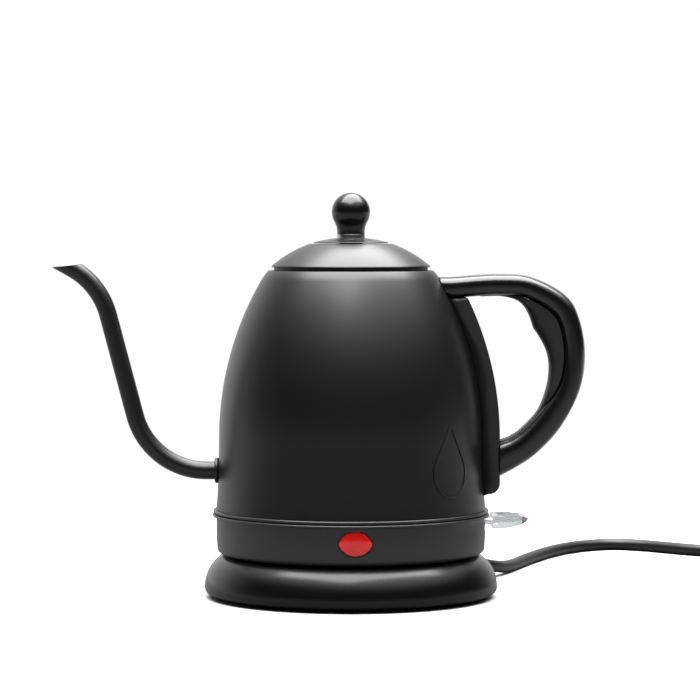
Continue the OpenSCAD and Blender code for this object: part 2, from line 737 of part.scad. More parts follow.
module spout_collar() color("#262627") difference() {
    translate([-body_at(spout_z) - collar_t, 0, spout_z]) rotate([0, 90, 0]) {
        cylinder(r = collar_r, h = 4 * collar_t);
        translate([0, 0, -1]) cylinder(r1 = collar_r - 1, r2 = collar_r, h = 1);
    }
    body_solid(0);
    translate([0, 0, spout_z]) rotate([0, -90, 0]) cylinder(r = spout_r, h = body_r + 20);
}

module skirt_band() color("#3c3c3e") {
    corner = 3;
    lip = lip_t / 2;
    outline = concat(
        [[band_flange_r, band_low]],
        arc(band_r - corner, band_low + corner, corner, -90, 0, 10),
        [[band_r, lip_low]],
        arc(lip_r - lip, lip_low + lip, lip, -90, 90, 10),
        [[band_inner_r, band_top], [band_inner_r, cover_low], [band_flange_r, cover_low]]);
    difference() {
        rotate_extrude() polygon(outline);
        window_prism(0);
        lever_slot();
    }
}

module trim_ring() color("#47474a") {
    lip = lip_t / 2;
    rotate_extrude() polygon(concat(
        [[spigot_r + run_gap, trim_low]],
        arc(trim_r - lip, trim_low + lip, lip, -90, 90, 10),
        [[spigot_r + run_gap, trim_low + lip_t]]));
}

module indicator_lens() color("#c0241c") {
    intersection() {
        window_prism(-fit_gap);
        translate([0, 0, band_low]) tube(band_r + 0.6, band_inner_r - 1, band_h);
    }
    intersection() {
        window_prism(1.4);
        translate([0, 0, cover_top + fit_gap])
            tube(band_inner_r - run_gap, band_inner_r - 1.2, spigot_low - cover_top - 2 * fit_gap);
    }
}

lamp_r = 2.6;
lamp_l = 8;
lamp_tip = band_inner_r - 3.5;
lamp_back = lamp_tip - lamp_r - lamp_l;
module indicator_lamp() color("#e8b8a0") turned(window_a) translate([0, lamp_r - lamp_tip, window_z]) {
    sphere(r = lamp_r);
    rotate([-90, 0, 0]) cylinder(r = lamp_r, h = lamp_l);
}

module lamp_holder() color("#ddd8cc") turned(window_a) difference() {
    translate([-5, -lamp_tip + 5, cover_top]) cube([10, 5, window_z - cover_top + lamp_r + 2]);
    translate([0, -lamp_tip, window_z]) rotate([-90, 0, 0]) cylinder(r = lamp_r, h = 20);
}

module under_cover() color("#2b2b2d") difference() {
    union() {
        translate([0, 0, cover_low]) cylinder(r = band_inner_r - fit_gap, h = cover_t);
        for (a = stud_angles) turned(a) translate([stud_reach, 0, cover_low])
            cylinder(r = post_r, h = stud_low - cover_low);
    }
    translate([0, 0, cover_low - eps]) cylinder(r = socket_r + socket_wall + fit_gap, h = cover_t + 2 * eps);
    for (a = stud_angles) turned(a) translate([stud_reach, 0, cover_low - eps]) {
        cylinder(r = screw_head_r + fit_gap, h = post_pocket);
        cylinder(r = screw_r + 0.3, h = stud_l + stud_low - cover_low);
    }
}

module under_cover_screws() color("silver") for (a = stud_angles) turned(a)
    translate([stud_reach, 0, cover_low + post_pocket - screw_head_h - eps]) {
        cylinder(r = screw_head_r, h = screw_head_h);
        cylinder(r = screw_r, h = stud_low - cover_low - post_pocket + screw_head_h + screw_bite);
    }

module kettle_socket() color("#1e1e20") difference() {
    union() {
        translate([0, 0, band_low + 1.5])
            cylinder(r = socket_r + socket_wall, h = control_low - band_low - 1.5);
        translate([0, 0, cover_top]) cylinder(r = socket_r + socket_wall + 3, h = 2);
    }
    translate([0, 0, band_low]) cylinder(r = socket_r, h = socket_top - band_low);
    translate([0, 0, band_low]) cylinder(r = pin_d / 2, h = 40);
    translate([0, 0, socket_top - eps]) tube(sleeve_d / 2, sleeve_d / 2 - sleeve_wall, 2 + eps);
}

module socket_contacts() color("goldenrod") {
    translate([0, 0, band_low + 1.8]) cylinder(r = pin_d / 2, h = control_low + 2 - band_low - 1.8);
    translate([0, 0, band_low + 2.6]) tube(sleeve_d / 2, sleeve_d / 2 - sleeve_wall,
        socket_top + 2 - band_low - 2.6);
}

module control_block() color("#d9d6cc") difference() {
    translate([0, 0, control_low]) cylinder(r = control_r, h = control_top - control_low);
    translate([0, 0, control_low - eps]) cylinder(r = pin_d / 2, h = 2 + eps);
}

module dry_boil_discs() color("#c7a36b") for (side = [-1, 1])
    translate([0, side * 10, control_top]) cylinder(r = 7, h = disc_t);

module steam_switch() color("#e4e1d8") difference() {
    ear_w = lever_neck_w / 2 + ear_gap;
    union() {
        translate([steam_x - 7, -ear_w - ear_t, cover_top])
            cube([pivot_reach + 5 - steam_x + 7, 2 * (ear_w + ear_t), switch_top - cover_top]);
        for (side = [0, 1]) mirror([0, side, 0]) translate([pivot_reach - 4, ear_w, switch_top - eps])
            cube([9, ear_t, pivot_z + 3.5 - switch_top]);
    }
    translate([pivot_reach, 0, pivot_z]) rotate([90, 0, 0])
        cylinder(r = pivot_r + 0.02, h = 4 * lever_neck_w, center = true);
}

module lever_pin() color("silver") translate([pivot_reach, 0, pivot_z]) rotate([90, 0, 0])
    cylinder(r = pivot_r, h = lever_neck_w + 2 * (ear_gap + ear_t), center = true);

module steam_bimetal() color("#c7a36b") translate([steam_x, 0, switch_top]) cylinder(r = 6, h = disc_t);

module steam_tube() color("#b9b9b4") {
    r1 = steam_tube_r;
    r2 = steam_tube_r - steam_tube_wall;
    turn_x = steam_x + steam_bend_r;
    wall_x = sqrt(pow(body_at(steam_z + r1, -body_wall), 2) - pow(r1, 2));
    along_x(turn_x, steam_z) tube(r1, r2, wall_x - turn_x - 0.05);
    translate([turn_x, 0, steam_z - steam_bend_r]) rotate([90, 0, 0])
        rotate_extrude(angle = 90, start = 90) translate([steam_bend_r, 0]) difference() {
            circle(r = r1, $fn = 48);
            circle(r = r2, $fn = 48);
        }
    translate([steam_x, 0, switch_top + disc_t + 2.4])
        tube(r1, r2, steam_z - steam_bend_r - switch_top - disc_t - 2.4);
}

module inner_wires() {
    for (side = [0, 1]) color("firebrick") mirror([0, side, 0]) turned(150)
        translate([control_r, terminal_out, element_z - terminal_drop + 2]) rotate([0, 90, 0])
            cylinder(r = 1, h = element_ring_r - terminal_r - control_r);
    run = lamp_back - control_r - 0.6;
    tilt = atan((control_low + 3 - window_z) / run);
    for (side = [-1, 1]) color("steelblue") turned(window_a)
        translate([side * 1.4, 0.2 - lamp_back, window_z]) rotate([tilt - 90, 0, 0])
            cylinder(r = 0.8, h = run / cos(tilt));
}

/* ---- handle ---- */
// Stations along the handle's middle line: x, z, direction of the outer face, thickness, swell
root_x = body_at(bar_z) + 4.6;
function across(u) = spine_x + u * (side_x - spine_x);
function up(v) = handle_foot_h + v * (bar_z - handle_foot_h);
stations = [
    [root_x, up(0.984), 92, bar_t, 0],
    [(root_x + spine_x) / 2, up(0.995), 91, bar_t, 0],
    [spine_x, up(1), 90, bar_t, 0],
    [across(0.37), up(0.986), 73, (bar_t + side_t) / 2, 0.28 * grip_swell],
    [across(0.765), up(0.896), 45, side_t + 0.6, 0.98 * grip_swell],
    [across(0.93), up(0.785), 22, side_t, grip_swell],
    [across(1), up(0.6), 0, side_t, 0.68 * grip_swell],
    [across(0.93), up(0.413), -17, side_t + 0.3, 0.44 * grip_swell],
    [across(0.68), up(0.23), -36, low_t - 0.4, 0.02 * grip_swell],
    [across(0.41), up(0.104), -47, low_t, 0],
    [across(0.2), up(0.04), -74, low_t + 1.1, 0],
    [across(0.005), handle_foot_h, -90, low_t + 3.7, 0]];
steps = 4;
function spline(a, b, c, d, f) =
    (2 * b + (c - a) * f + (2 * a - 5 * b + 4 * c - d) * f * f + (3 * b - a - 3 * c + d) * f * f * f) / 2;
function smooth(list) = let (last = len(list) - 1) concat(
    [for (i = [0:last - 1], s = [0:steps - 1])
        spline(list[max(i - 1, 0)], list[i], list[i + 1], list[min(i + 2, last)], s / steps)],
    [list[last]]);
frames = smooth(stations);
// A point of a section: n towards the outer face, y front to back
function in_frame(f, n, y) = [f[0] + n * cos(f[2]), y, f[1] + n * sin(f[2])];
function bulged(v, power) = sign(v) * pow(abs(v), power);
section_power = 0.66;
open_a = 151;
function oval(a, b, from, to, n) = [for (k = [0:n]) let (p = from + (to - from) * k / n)
    [a * bulged(cos(p), section_power), b * bulged(sin(p), section_power)]];
function shell_section(f) = let (a = f[3] / 2, b = handle_w / 2) concat(
    oval(a, b, -open_a, open_a, handle_fn),
    oval(a - handle_wall, b - handle_wall, open_a, -open_a, handle_fn));
// The first ring is pressed against the round body
function against_body(p) = [sqrt(pow(body_at(p[2], fit_gap), 2) - pow(p[1], 2)), p[1], p[2]];

module handle_shell() color("#1c1c1d") {
    m = 2 * (handle_fn + 1);
    rings = [for (f = frames) [for (p = shell_section(f)) in_frame(f, p[0], p[1])]];
    last = len(rings) * m;
    skin(concat([[for (p = rings[0]) against_body(p)]], rings),
        [for (k = [0:handle_fn - 1]) let (j = m - 1 - k) each [
            [k, j - 1, k + 1], [k, j, j - 1],
            [last + k, last + k + 1, last + j - 1], [last + k, last + j - 1, last + j]]]);
}

cover_from = 6;
function grip_section(f) = let (
        a = f[3] / 2, b = handle_w / 2,
        edge = -a * bulged(-cos(open_a), section_power) - 0.15,
        inner = -(a - handle_wall) * bulged(-cos(open_a), section_power),
        stem = (b - handle_wall) * bulged(sin(open_a), section_power) - 0.15,
        wide = stem + 0.5 + (b - 2.1 - stem) * min(1, max(0, f[4]) / 3),
        depth = a + edge + max(0, f[4]))
    concat(
        [for (k = [0:10]) let (p = 90 - 18 * k)
            [edge - depth * pow(abs(cos(p)), 0.6), wide * bulged(sin(p), 0.6)]],
        [[edge + 0.25, -stem], [inner, -stem], [inner, stem], [edge + 0.25, stem]]);

module handle_grip() color("#232325") {
    rings = [for (i = [cover_from:len(frames) - 1])
        [for (p = grip_section(frames[i])) in_frame(frames[i], p[0], p[1])]];
    skin(rings, plain_ends(len(rings[0]), len(rings)));
}

// The spine's top fills the bar's open underside, and climbs outward as the bar does
spine_top = up(0.984) + bar_t / 2 * bulged(cos(open_a), section_power) - fit_gap;
spine_climb = 0.6;
spine_slope = 0.8;
module spine_outline(depth, low) {
    corner = min(5.5, depth);
    curve_r = spine_curve_r + depth - spine_t;
    top_a = asin((spine_top + spine_climb - waist_h) / curve_r);
    polygon(concat(
        [[0, low - spine_slope], [body_r, low - spine_slope]],
        arc(body_r + depth - corner, low + corner, corner, -90, 0, 8),
        arc(body_r + depth - curve_r, waist_h, curve_r, 0, top_a, 24),
        [[root_x + 2, spine_top], [0, spine_top]]));
}
module handle_spine() color("#232324") difference() {
    rotate([90, 0, 0]) linear_extrude(height = spine_w, center = true) spine_outline(spine_t, spine_low);
    body_solid(fit_gap);
    difference() {
        rotate([90, 0, 0]) linear_extrude(height = spine_slot, center = true)
            spine_outline(spine_t - spine_wall, spine_low + 1.2);
        along_x(0, handle_foot_h) cylinder(r = 6.5, h = body_r + 20);
    }
    translate([0, -spine_slot / 2, spine_top - 4])
        cube([body_at(spine_top) + spine_t - 2 * spine_wall, spine_slot, 8]);
    along_x(0, handle_foot_h) cylinder(r = boss_r + fit_gap, h = body_r + 5);
    along_x(0, handle_foot_h) cylinder(r = screw_r + 0.3, h = body_r + 20);
    along_x(spine_x - head_sunk, handle_foot_h) cylinder(r = screw_head_r + fit_gap, h = spine_t);
}

tongue_z = bar_z - 0.6;
tongue_t = 1.6;
tongue_w = 10;
tongue_screw_x = spine_x - 1.2 * tongue_w;
boss_l = 5;
head_sunk = 2.6;
module handle_brackets() color("silver") {
    difference() {
        translate([0, -tongue_w / 2, tongue_z]) cube([tongue_screw_x + tongue_w / 2, tongue_w, tongue_t]);
        body_solid(eps);
        translate([tongue_screw_x, 0, 0]) cylinder(r = screw_r + 0.3, h = handle_top_h);
    }
    difference() {
        along_x(0, handle_foot_h) cylinder(r = boss_r, h = body_r + boss_l);
        body_solid(0);
        along_x(0, handle_foot_h) cylinder(r = screw_r + run_gap, h = handle_reach);
    }
}

module handle_screws() color("silver") {
    translate([tongue_screw_x, 0, tongue_z - screw_head_h]) {
        cylinder(r = screw_head_r, h = screw_head_h);
        cylinder(r = screw_r, h = handle_top_h - handle_wall - tongue_z + screw_head_h - 0.6);
    }
    along_x(spine_x - head_sunk, handle_foot_h) cylinder(r = screw_head_r, h = screw_head_h);
    along_x(body_r + 0.3, handle_foot_h) cylinder(r = screw_r, h = spine_t - head_sunk);
}

/* ---- lid ---- */
module lid_dome() color("#2f2f30") {
    n = 20;
    flat = seat_z - lid_t;
    under_r = sqrt(pow(lid_r - lid_t, 2) - pow(flat - lid_cz, 2));
    under_edge = lid_edge_r - lid_t;
    rotate_extrude() polygon(concat(
        [[lid_edge_r, lid_edge_z]],
        [for (i = [0:n]) let (r = lid_edge_r + (seat_r - lid_edge_r) * i / n) [r, lid_z(r)]],
        [[knob_bore_r, seat_z], [knob_bore_r, flat]],
        [for (i = [0:n]) let (r = under_r + (under_edge - under_r) * i / n) [r, lid_z(r, lid_t)]]));
}

// Dark plastic body of the lid: a wall set back under the dome's edge makes the seam
module lid_liner() color("#3a3a3b") difference() {
    inner_r = lid_wall_r - liner_t;
    union() {
        translate([0, 0, lid_low]) cylinder(r = mouth_r - 2 * lift_gap, h = liner_t);
        rotate_extrude() polygon([
            [inner_r, lid_low], [lid_wall_r, lid_low],
            [lid_wall_r, lid_z(lid_wall_r, lid_t + eps)], [inner_r, lid_z(inner_r, lid_t + eps)]]);
        translate([0, 0, liner_low]) cylinder(r = liner_r, h = lid_low - liner_low + eps);
        translate([0, 0, liner_low]) cylinder(r = 5, h = seat_z - lid_t - liner_low);
    }
    translate([0, 0, liner_low + liner_t]) tube(liner_r - liner_t, 5, seat_z);
    translate([0, 0, liner_low - eps]) {
        cylinder(r = 3.4, h = 2.2);
        cylinder(r = knob_bore_r, h = seat_z);
    }
    round_set(3, 20) translate([0, 0, liner_low - eps]) cylinder(r = 1.6, h = 4);
}

module lid_gasket() color("#8f8f8c") translate([0, 0, liner_low + 2])
    tube(throat_r - lift_gap, liner_r, 3.6);

// Plate that stands on a foot, a little above the flat of the lid
module knob_plate() color("#49494b") rotate_extrude() {
    radii = [for (i = [0:12]) knob_plate_r + (knob_bore_r - knob_plate_r) * i / 12];
    under = [for (i = [0:8]) knob_plate_foot_r + (knob_plate_r - knob_plate_foot_r) * i / 8];
    polygon(concat(
        [for (r = radii) [r, crown_z(r)]],
        [[knob_bore_r, seat_z], [knob_plate_foot_r, seat_z]],
        [for (r = under) [r, max(crown_z(r) - knob_plate_t, seat_z + knob_plate_gap)]]));
}

module knob_ring() color("#8a8b8d") rotate_extrude() polygon(concat(
    [for (i = [0:6]) let (r = knob_bore_r + (ring_edge_r - knob_bore_r) * i / 6) [r, crown_z(r) + eps]],
    [[ring_edge_r, ring_top], [knob_bore_r, ring_top]]));

module lid_knob() color("#141415") difference() {
    turn_a = atan(fillet_drop / (neck_r + knob_fillet_r));
    rotate_extrude() polygon(concat(
        [[0, ring_top], [neck_r, ring_top]],
        arc(neck_r + knob_fillet_r, knob_cz - fillet_drop, knob_fillet_r, 180, 180 - turn_a, 10),
        arc(0, knob_cz, knob_r, -turn_a, 90, 30)));
    translate([0, 0, ring_top - eps]) cylinder(r = knob_screw_r + run_gap, h = knob_cz - ring_top - 3);
}

module knob_screw() color("silver") translate([0, 0, liner_low]) {
    cylinder(r = 3.2, h = 2);
    cylinder(r = knob_screw_r, h = knob_cz - liner_low - 3.6);
}

/* ---- switch lever ---- */
paddle_t = lever_neck_t + 2.8;
module paddle_side() polygon([
    [paddle_x, pivot_z + paddle_t / 2], [lever_reach - 5.5, pivot_z + paddle_t / 2],
    [lever_reach - 3, pivot_z + paddle_t / 2 - 0.6], [lever_reach, pivot_z + 1],
    [lever_reach - 1.4, pivot_z - 0.1], [lever_reach - 4.5, pivot_z - 1.6],
    [lever_reach - 9, pivot_z - 2.6], [lever_reach - 14, pivot_z - paddle_t / 2],
    [paddle_x, pivot_z - paddle_t / 2]]);
// Seen from above: straight flanks that draw in to a rounded tip
module paddle_plan() {
    tip_w = 0.66 * lever_w;
    corner = 5;
    hull() {
        translate([paddle_x, -lever_w / 2]) square([4, lever_w]);
        for (side = [-1, 1]) translate([lever_reach - corner - 1.4, side * (tip_w / 2 - corner)])
            circle(r = corner);
        translate([lever_reach - 4, 0]) circle(r = 4);
    }
}

module switch_lever() color("#dfe6ea") difference() {
    union() {
        intersection() {
            rotate([90, 0, 0]) linear_extrude(height = lever_w, center = true) paddle_side();
            translate([0, 0, pivot_z - paddle_t]) linear_extrude(height = 2 * paddle_t) paddle_plan();
        }
        translate([pivot_reach, -lever_neck_w / 2, pivot_z - lever_neck_t / 2])
            cube([paddle_x - pivot_reach + 1, lever_neck_w, lever_neck_t]);
        translate([pivot_reach, 0, pivot_z]) rotate([90, 0, 0])
            cylinder(r = hub_lever_r, h = lever_neck_w, center = true);
    }
    translate([pivot_reach, 0, pivot_z]) rotate([90, 0, 0])
        cylinder(r = pivot_r + run_gap, h = lever_neck_w + 1, center = true);
    // Scoop in the top, with ribs left standing across it
    scoop_w = 2.2;
    scoop_from = paddle_x + 2.5;
    scoop_to = lever_reach - 4.5;
    intersection() {
        translate([(paddle_x + lever_reach) / 2 - 2, -lever_w, pivot_z + paddle_t / 2 + 9.4])
            rotate([-90, 0, 0]) cylinder(r = 11.4, h = 2 * lever_w);
        for (i = [-3:3]) translate([scoop_from, i * lever_w / 8.5 - scoop_w / 2, pivot_z])
            cube([scoop_to - scoop_from, scoop_w, paddle_t]);
    }
}

placed() base_housing();
placed() base_plate();
placed() base_feet();
placed() base_screws();
placed() base_connector();
placed() base_contacts();
placed() base_contact_ring();
placed() base_wires();
placed() cord_clamp();
placed() clamp_screws();
placed() strain_relief();
placed() cord_tail();
placed() cord();
placed() cord_coil();
placed() cord_end();
placed() cord_tie();
placed() plug_body();
placed() plug_blades();
placed() plug_earth_pin();
placed() vessel_shell();
placed() mouth_ring();
placed() body_sleeve();
placed() body_motif();
placed() vessel_floor();
placed() heat_spreader();
placed() heating_element();
placed() element_terminals();
placed() floor_studs();
placed() spout_tube();
placed() spout_collar();
placed() skirt_band();
placed() trim_ring();
placed() indicator_lens();
placed() indicator_lamp();
placed() lamp_holder();
placed() under_cover();
placed() under_cover_screws();
placed() kettle_socket();
placed() socket_contacts();
placed() control_block();
placed() dry_boil_discs();
placed() steam_switch();
placed() steam_bimetal();
placed() steam_tube();
placed() inner_wires();
placed() lever_pin();
placed() handle_shell();
placed() handle_grip();
placed() handle_spine();
placed() handle_brackets();
placed() handle_screws();
placed() lid_dome();
placed() lid_liner();
placed() lid_gasket();
placed() knob_plate();
placed() knob_ring();
placed() lid_knob();
placed() knob_screw();
placed() switch_lever();
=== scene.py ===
"""Dresses the gooseneck kettle, its power base and its mains lead.

Profiles are in millimetres from the kettle's upright axis, where X runs to the handle,
Y to the back and Z up from the table. Blender itself works in metres.
"""
import bpy
import math
from mathutils import Matrix, Vector


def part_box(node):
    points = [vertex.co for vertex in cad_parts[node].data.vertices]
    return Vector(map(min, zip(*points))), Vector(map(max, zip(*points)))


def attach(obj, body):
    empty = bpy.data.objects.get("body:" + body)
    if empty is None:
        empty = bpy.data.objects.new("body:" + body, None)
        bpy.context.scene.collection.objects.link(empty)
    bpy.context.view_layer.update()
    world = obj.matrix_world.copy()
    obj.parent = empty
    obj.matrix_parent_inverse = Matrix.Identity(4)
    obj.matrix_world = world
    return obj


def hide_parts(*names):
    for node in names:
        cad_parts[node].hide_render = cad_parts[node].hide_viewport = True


MM = 0.001
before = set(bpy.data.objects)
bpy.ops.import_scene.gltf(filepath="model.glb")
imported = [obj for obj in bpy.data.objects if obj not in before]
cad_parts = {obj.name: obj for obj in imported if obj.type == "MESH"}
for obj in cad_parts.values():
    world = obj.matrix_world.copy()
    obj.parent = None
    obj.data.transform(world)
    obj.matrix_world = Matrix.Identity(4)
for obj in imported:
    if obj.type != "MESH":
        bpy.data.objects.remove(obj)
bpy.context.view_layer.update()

base_low, base_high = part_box("base_housing")
AXIS_X = (base_low.x + base_high.x) / 2
BASE_R = (base_high.x - base_low.x) / 2 / MM
BASE_H = base_high.z / MM


# ---- Places ----

def at(x, y, z):
    """The place, in metres, of a point measured in millimetres from the kettle's axis."""
    return Vector((AXIS_X + x * MM, y * MM, z * MM))


def low(node):
    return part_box(node)[0].z / MM


def high(node):
    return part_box(node)[1].z / MM


def radius(node):
    """Radius of a round node, in millimetres."""
    low_corner, high_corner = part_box(node)
    return (high_corner.x - low_corner.x) / 2 / MM


def cosd(angle):
    return math.cos(math.radians(angle))


def sind(angle):
    return math.sin(math.radians(angle))


def arc(cx, cz, r, start, end, count):
    """Points round part of a circle, in degrees from the outward direction."""
    step = (end - start) / count
    return [(cx + r * cosd(start + step * i), cz + r * sind(start + step * i))
            for i in range(count + 1)]


def spaced(start, end, count):
    return [start + (end - start) * i / count for i in range(count + 1)]


# ---- Modelling by hand: small steps that every piece shares ----

def nothing_selected():
    if bpy.context.object and bpy.context.object.mode != "OBJECT":
        bpy.ops.object.mode_set(mode="OBJECT")
    bpy.ops.object.select_all(action="DESELECT")


def only(piece):
    """Selects one piece alone and makes it the active one."""
    nothing_selected()
    piece.select_set(True)
    bpy.context.view_layer.objects.active = piece


def kept_in_place(piece):
    """Moves a piece's place, turn and scale into its mesh."""
    only(piece)
    bpy.ops.object.transform_apply(location=True, rotation=True, scale=True)
    return piece


def shaded(piece, angle):
    """Shades a piece smooth, apart from edges sharper than an angle in degrees."""
    bpy.ops.object.shade_smooth_by_angle(angle=math.radians(angle))
    return piece


def drawn(name, points, closed=True):
    """An outline drawn by extruding one point from place to place. Points are (x, y, z)."""
    nothing_selected()
    bpy.ops.mesh.primitive_plane_add(size=MM, location=at(*points[0]))
    piece = bpy.context.object
    piece.name = name
    bpy.ops.object.mode_set(mode="EDIT")
    bpy.ops.mesh.merge(type="CENTER")
    for a, b in zip(points, points[1:]):
        step = (Vector(b) - Vector(a)) * MM
        bpy.ops.mesh.extrude_vertices_move(TRANSFORM_OT_translate={"value": step})
    bpy.ops.mesh.select_all(action="SELECT")
    if closed:
        bpy.ops.mesh.edge_face_add()
    return piece


MERGE = 0.002 * MM      # points closer than this are one point


def settled(piece, smooth=35):
    """Ends the modelling of a piece: normals outward, place in its mesh, edges shaded by angle."""
    if piece.mode != "EDIT":
        bpy.context.view_layer.objects.active = piece
        bpy.ops.object.mode_set(mode="EDIT")
    bpy.ops.mesh.select_all(action="SELECT")
    bpy.ops.mesh.remove_doubles(threshold=MERGE)
    bpy.ops.mesh.normals_make_consistent(inside=False)
    return shaded(kept_in_place(piece), smooth)


def turned(name, outline, steps=144, smooth=35):
    """A round piece: its outline of (radius, height) points is spun round the kettle's axis."""
    piece = drawn(name, [(r, 0, z) for r, z in outline], closed=False)
    bpy.ops.mesh.spin(steps=steps, angle=2 * math.pi, center=at(0, 0, 0), axis=(0, 0, 1))
    return settled(piece, smooth)


def moved(piece, turn, place):
    """Turns a finished piece about the foot of the kettle's axis and carries it to a place."""
    piece.matrix_world = Matrix.Translation(place) @ turn @ Matrix.Translation(-at(0, 0, 0))
    return kept_in_place(piece)


def lathed(name, outline, place, toward, steps=64):
    """A round piece of (radius, distance) points, which starts at a place and points some way."""
    turn = Vector(toward).to_track_quat("Z", "Y").to_matrix().to_4x4()
    return moved(turned(name, outline, steps), turn, at(*place))


def round_axis(piece, angle):
    """Turns a finished piece round the kettle's axis, in degrees from the front to the handle."""
    return moved(piece, Matrix.Rotation(math.radians(angle), 4, "Z"), at(0, 0, 0))


def slab(name, points, way):
    """A flat outline drawn by hand and pulled out into a slab along one direction."""
    piece = drawn(name, points)
    bpy.ops.mesh.extrude_region_move(TRANSFORM_OT_translate={"value": Vector(way) * MM})
    return settled(piece)


def side_slab(name, side, half_y):
    """A slab across the kettle, from its outline of (x, z) points seen from the front."""
    return slab(name, [(x, -half_y, z) for x, z in side], (0, 2 * half_y, 0))


def round_rod(name, start, end, r, steps=48):
    """A plain round bar between two places, in millimetres from the axis, used as a cutter."""
    a, b = at(*start), at(*end)
    nothing_selected()
    bpy.ops.mesh.primitive_cylinder_add(
        vertices=steps, radius=r * MM, depth=(b - a).length, location=(a + b) / 2,
        rotation=(b - a).to_track_quat("Z", "Y").to_euler())
    rod = bpy.context.object
    rod.name = name
    return kept_in_place(rod)


def turn_selected(angle, x, z):
    """Turns what is selected about a line across the kettle, positive from +Z towards +X."""
    if abs(angle) > 1e-9:
        bpy.ops.transform.rotate(value=-math.radians(angle), orient_axis="Y",
                                 center_override=at(x, 0, z))


def swept(name, ring, stations, filled=True):
    """A ring of (n, y) points carried along stations of (x, z, way, scale_n, scale_y).

    way is the direction of n in degrees from +X towards +Z.
    """
    x0, z0, way0, n0, y0 = stations[0]
    if not filled:
        ring = ring + ring[:1]
    piece = drawn(name, [(x0 + n * n0, y * y0, z0) for n, y in ring], closed=filled)
    if not filled:
        bpy.ops.mesh.remove_doubles(threshold=MERGE)
    turn_selected(-way0, x0, z0)
    for before, now in zip(stations, stations[1:]):
        bpy.ops.mesh.extrude_region_move(TRANSFORM_OT_translate={
            "value": ((now[0] - before[0]) * MM, 0, (now[1] - before[1]) * MM)})
        turn_selected(before[2], now[0], now[1])
        bpy.ops.transform.resize(value=(now[3] / before[3], now[4] / before[4], 1),
                                 center_override=at(now[0], 0, now[1]))
        turn_selected(-now[2], now[0], now[1])
    return piece


def applied(piece, kind, **settings):
    """Adds a modifier to a piece and applies it."""
    only(piece)
    modifier = piece.modifiers.new(kind.title(), kind)
    for key, value in settings.items():
        setattr(modifier, key, value)
    bpy.ops.object.modifier_apply(modifier=modifier.name)
    return piece


def cut_by(piece, cutter, keep="DIFFERENCE"):
    """Cuts a piece by another one, which is used up, or joins or intersects the two."""
    applied(piece, "BOOLEAN", operation=keep, object=cutter, solver="EXACT")
    bpy.data.objects.remove(cutter)
    return piece


def softened(piece, width, segments=2, angle=40):
    """Rounds the edges of a piece that are sharper than an angle in degrees."""
    applied(piece, "BEVEL", width=width * MM, segments=segments, limit_method="ANGLE",
            angle_limit=math.radians(angle))
    return shaded(piece, 40)


# ---- Sizes that several pieces share, in millimetres ----

BODY_R = 67.8           # radius of the body at its waist
WALL = 0.6              # thickness of the body's sheet
WAIST_H = 81.8          # height of the waist, above which the body draws in
FLARE = 1.4             # how far the body flares out again down to its lower edge
DOME_R = 162.3          # radius of the long curve of the body
SHOULDER_R = 23.8       # radius of the shoulder
SHOULDER_A = 30         # where the long curve passes into the shoulder
MOUTH_A = 45.4          # where the shoulder ends at the mouth
WAIST_X = BODY_R - DOME_R
SHOULDER_CX = WAIST_X + (DOME_R - SHOULDER_R) * cosd(SHOULDER_A)
SHOULDER_CZ = WAIST_H + (DOME_R - SHOULDER_R) * sind(SHOULDER_A)
MOUTH_R = SHOULDER_CX + SHOULDER_R * cosd(MOUTH_A)
MOUTH_Z = SHOULDER_CZ + SHOULDER_R * sind(MOUTH_A)
BAND_LOW, BAND_TOP = low("skirt_band"), high("skirt_band")
BAND_R = BODY_R + 1.5   # radius of the band under the body
BAND_WALL = 1.95
LIP = 0.85              # radius of the rounded edge on the band and on the trim ring
TRIM_LOW = low("trim_ring")
BODY_LOW = TRIM_LOW + 1.8
FLARE_R = ((WAIST_H - BODY_LOW) ** 2 + FLARE ** 2) / (2 * FLARE)
PIVOT_Z = (low("lever_pin") + high("lever_pin")) / 2


def body_at(z):
    """Radius of the body's outside at a height on its flare or its long curve."""
    if z < WAIST_H:
        return BODY_R + FLARE_R - math.sqrt(FLARE_R ** 2 - (WAIST_H - z) ** 2)
    return WAIST_X + math.sqrt(DOME_R ** 2 - (z - WAIST_H) ** 2)


def line_of_body(grow=0.0):
    """The body's outside from its lower edge over the waist up to the mouth."""
    levels = spaced(BODY_LOW, WAIST_H, 14)[:-1]
    return ([(body_at(z) + grow, z) for z in levels]
            + arc(WAIST_X, WAIST_H, DOME_R + grow, 0, SHOULDER_A, 36)
            + arc(SHOULDER_CX, SHOULDER_CZ, SHOULDER_R + grow, SHOULDER_A, MOUTH_A, 12)[1:])


def fitted_to_body(piece, gap=0.0):
    """Cuts a piece to the body's outside."""
    line, foot_z = line_of_body(gap), 20
    block = [(0, foot_z), (line[0][0], foot_z)] + line + [(0, line[-1][1])]
    return cut_by(piece, turned("body_block", block))


# ---- Finishes ----

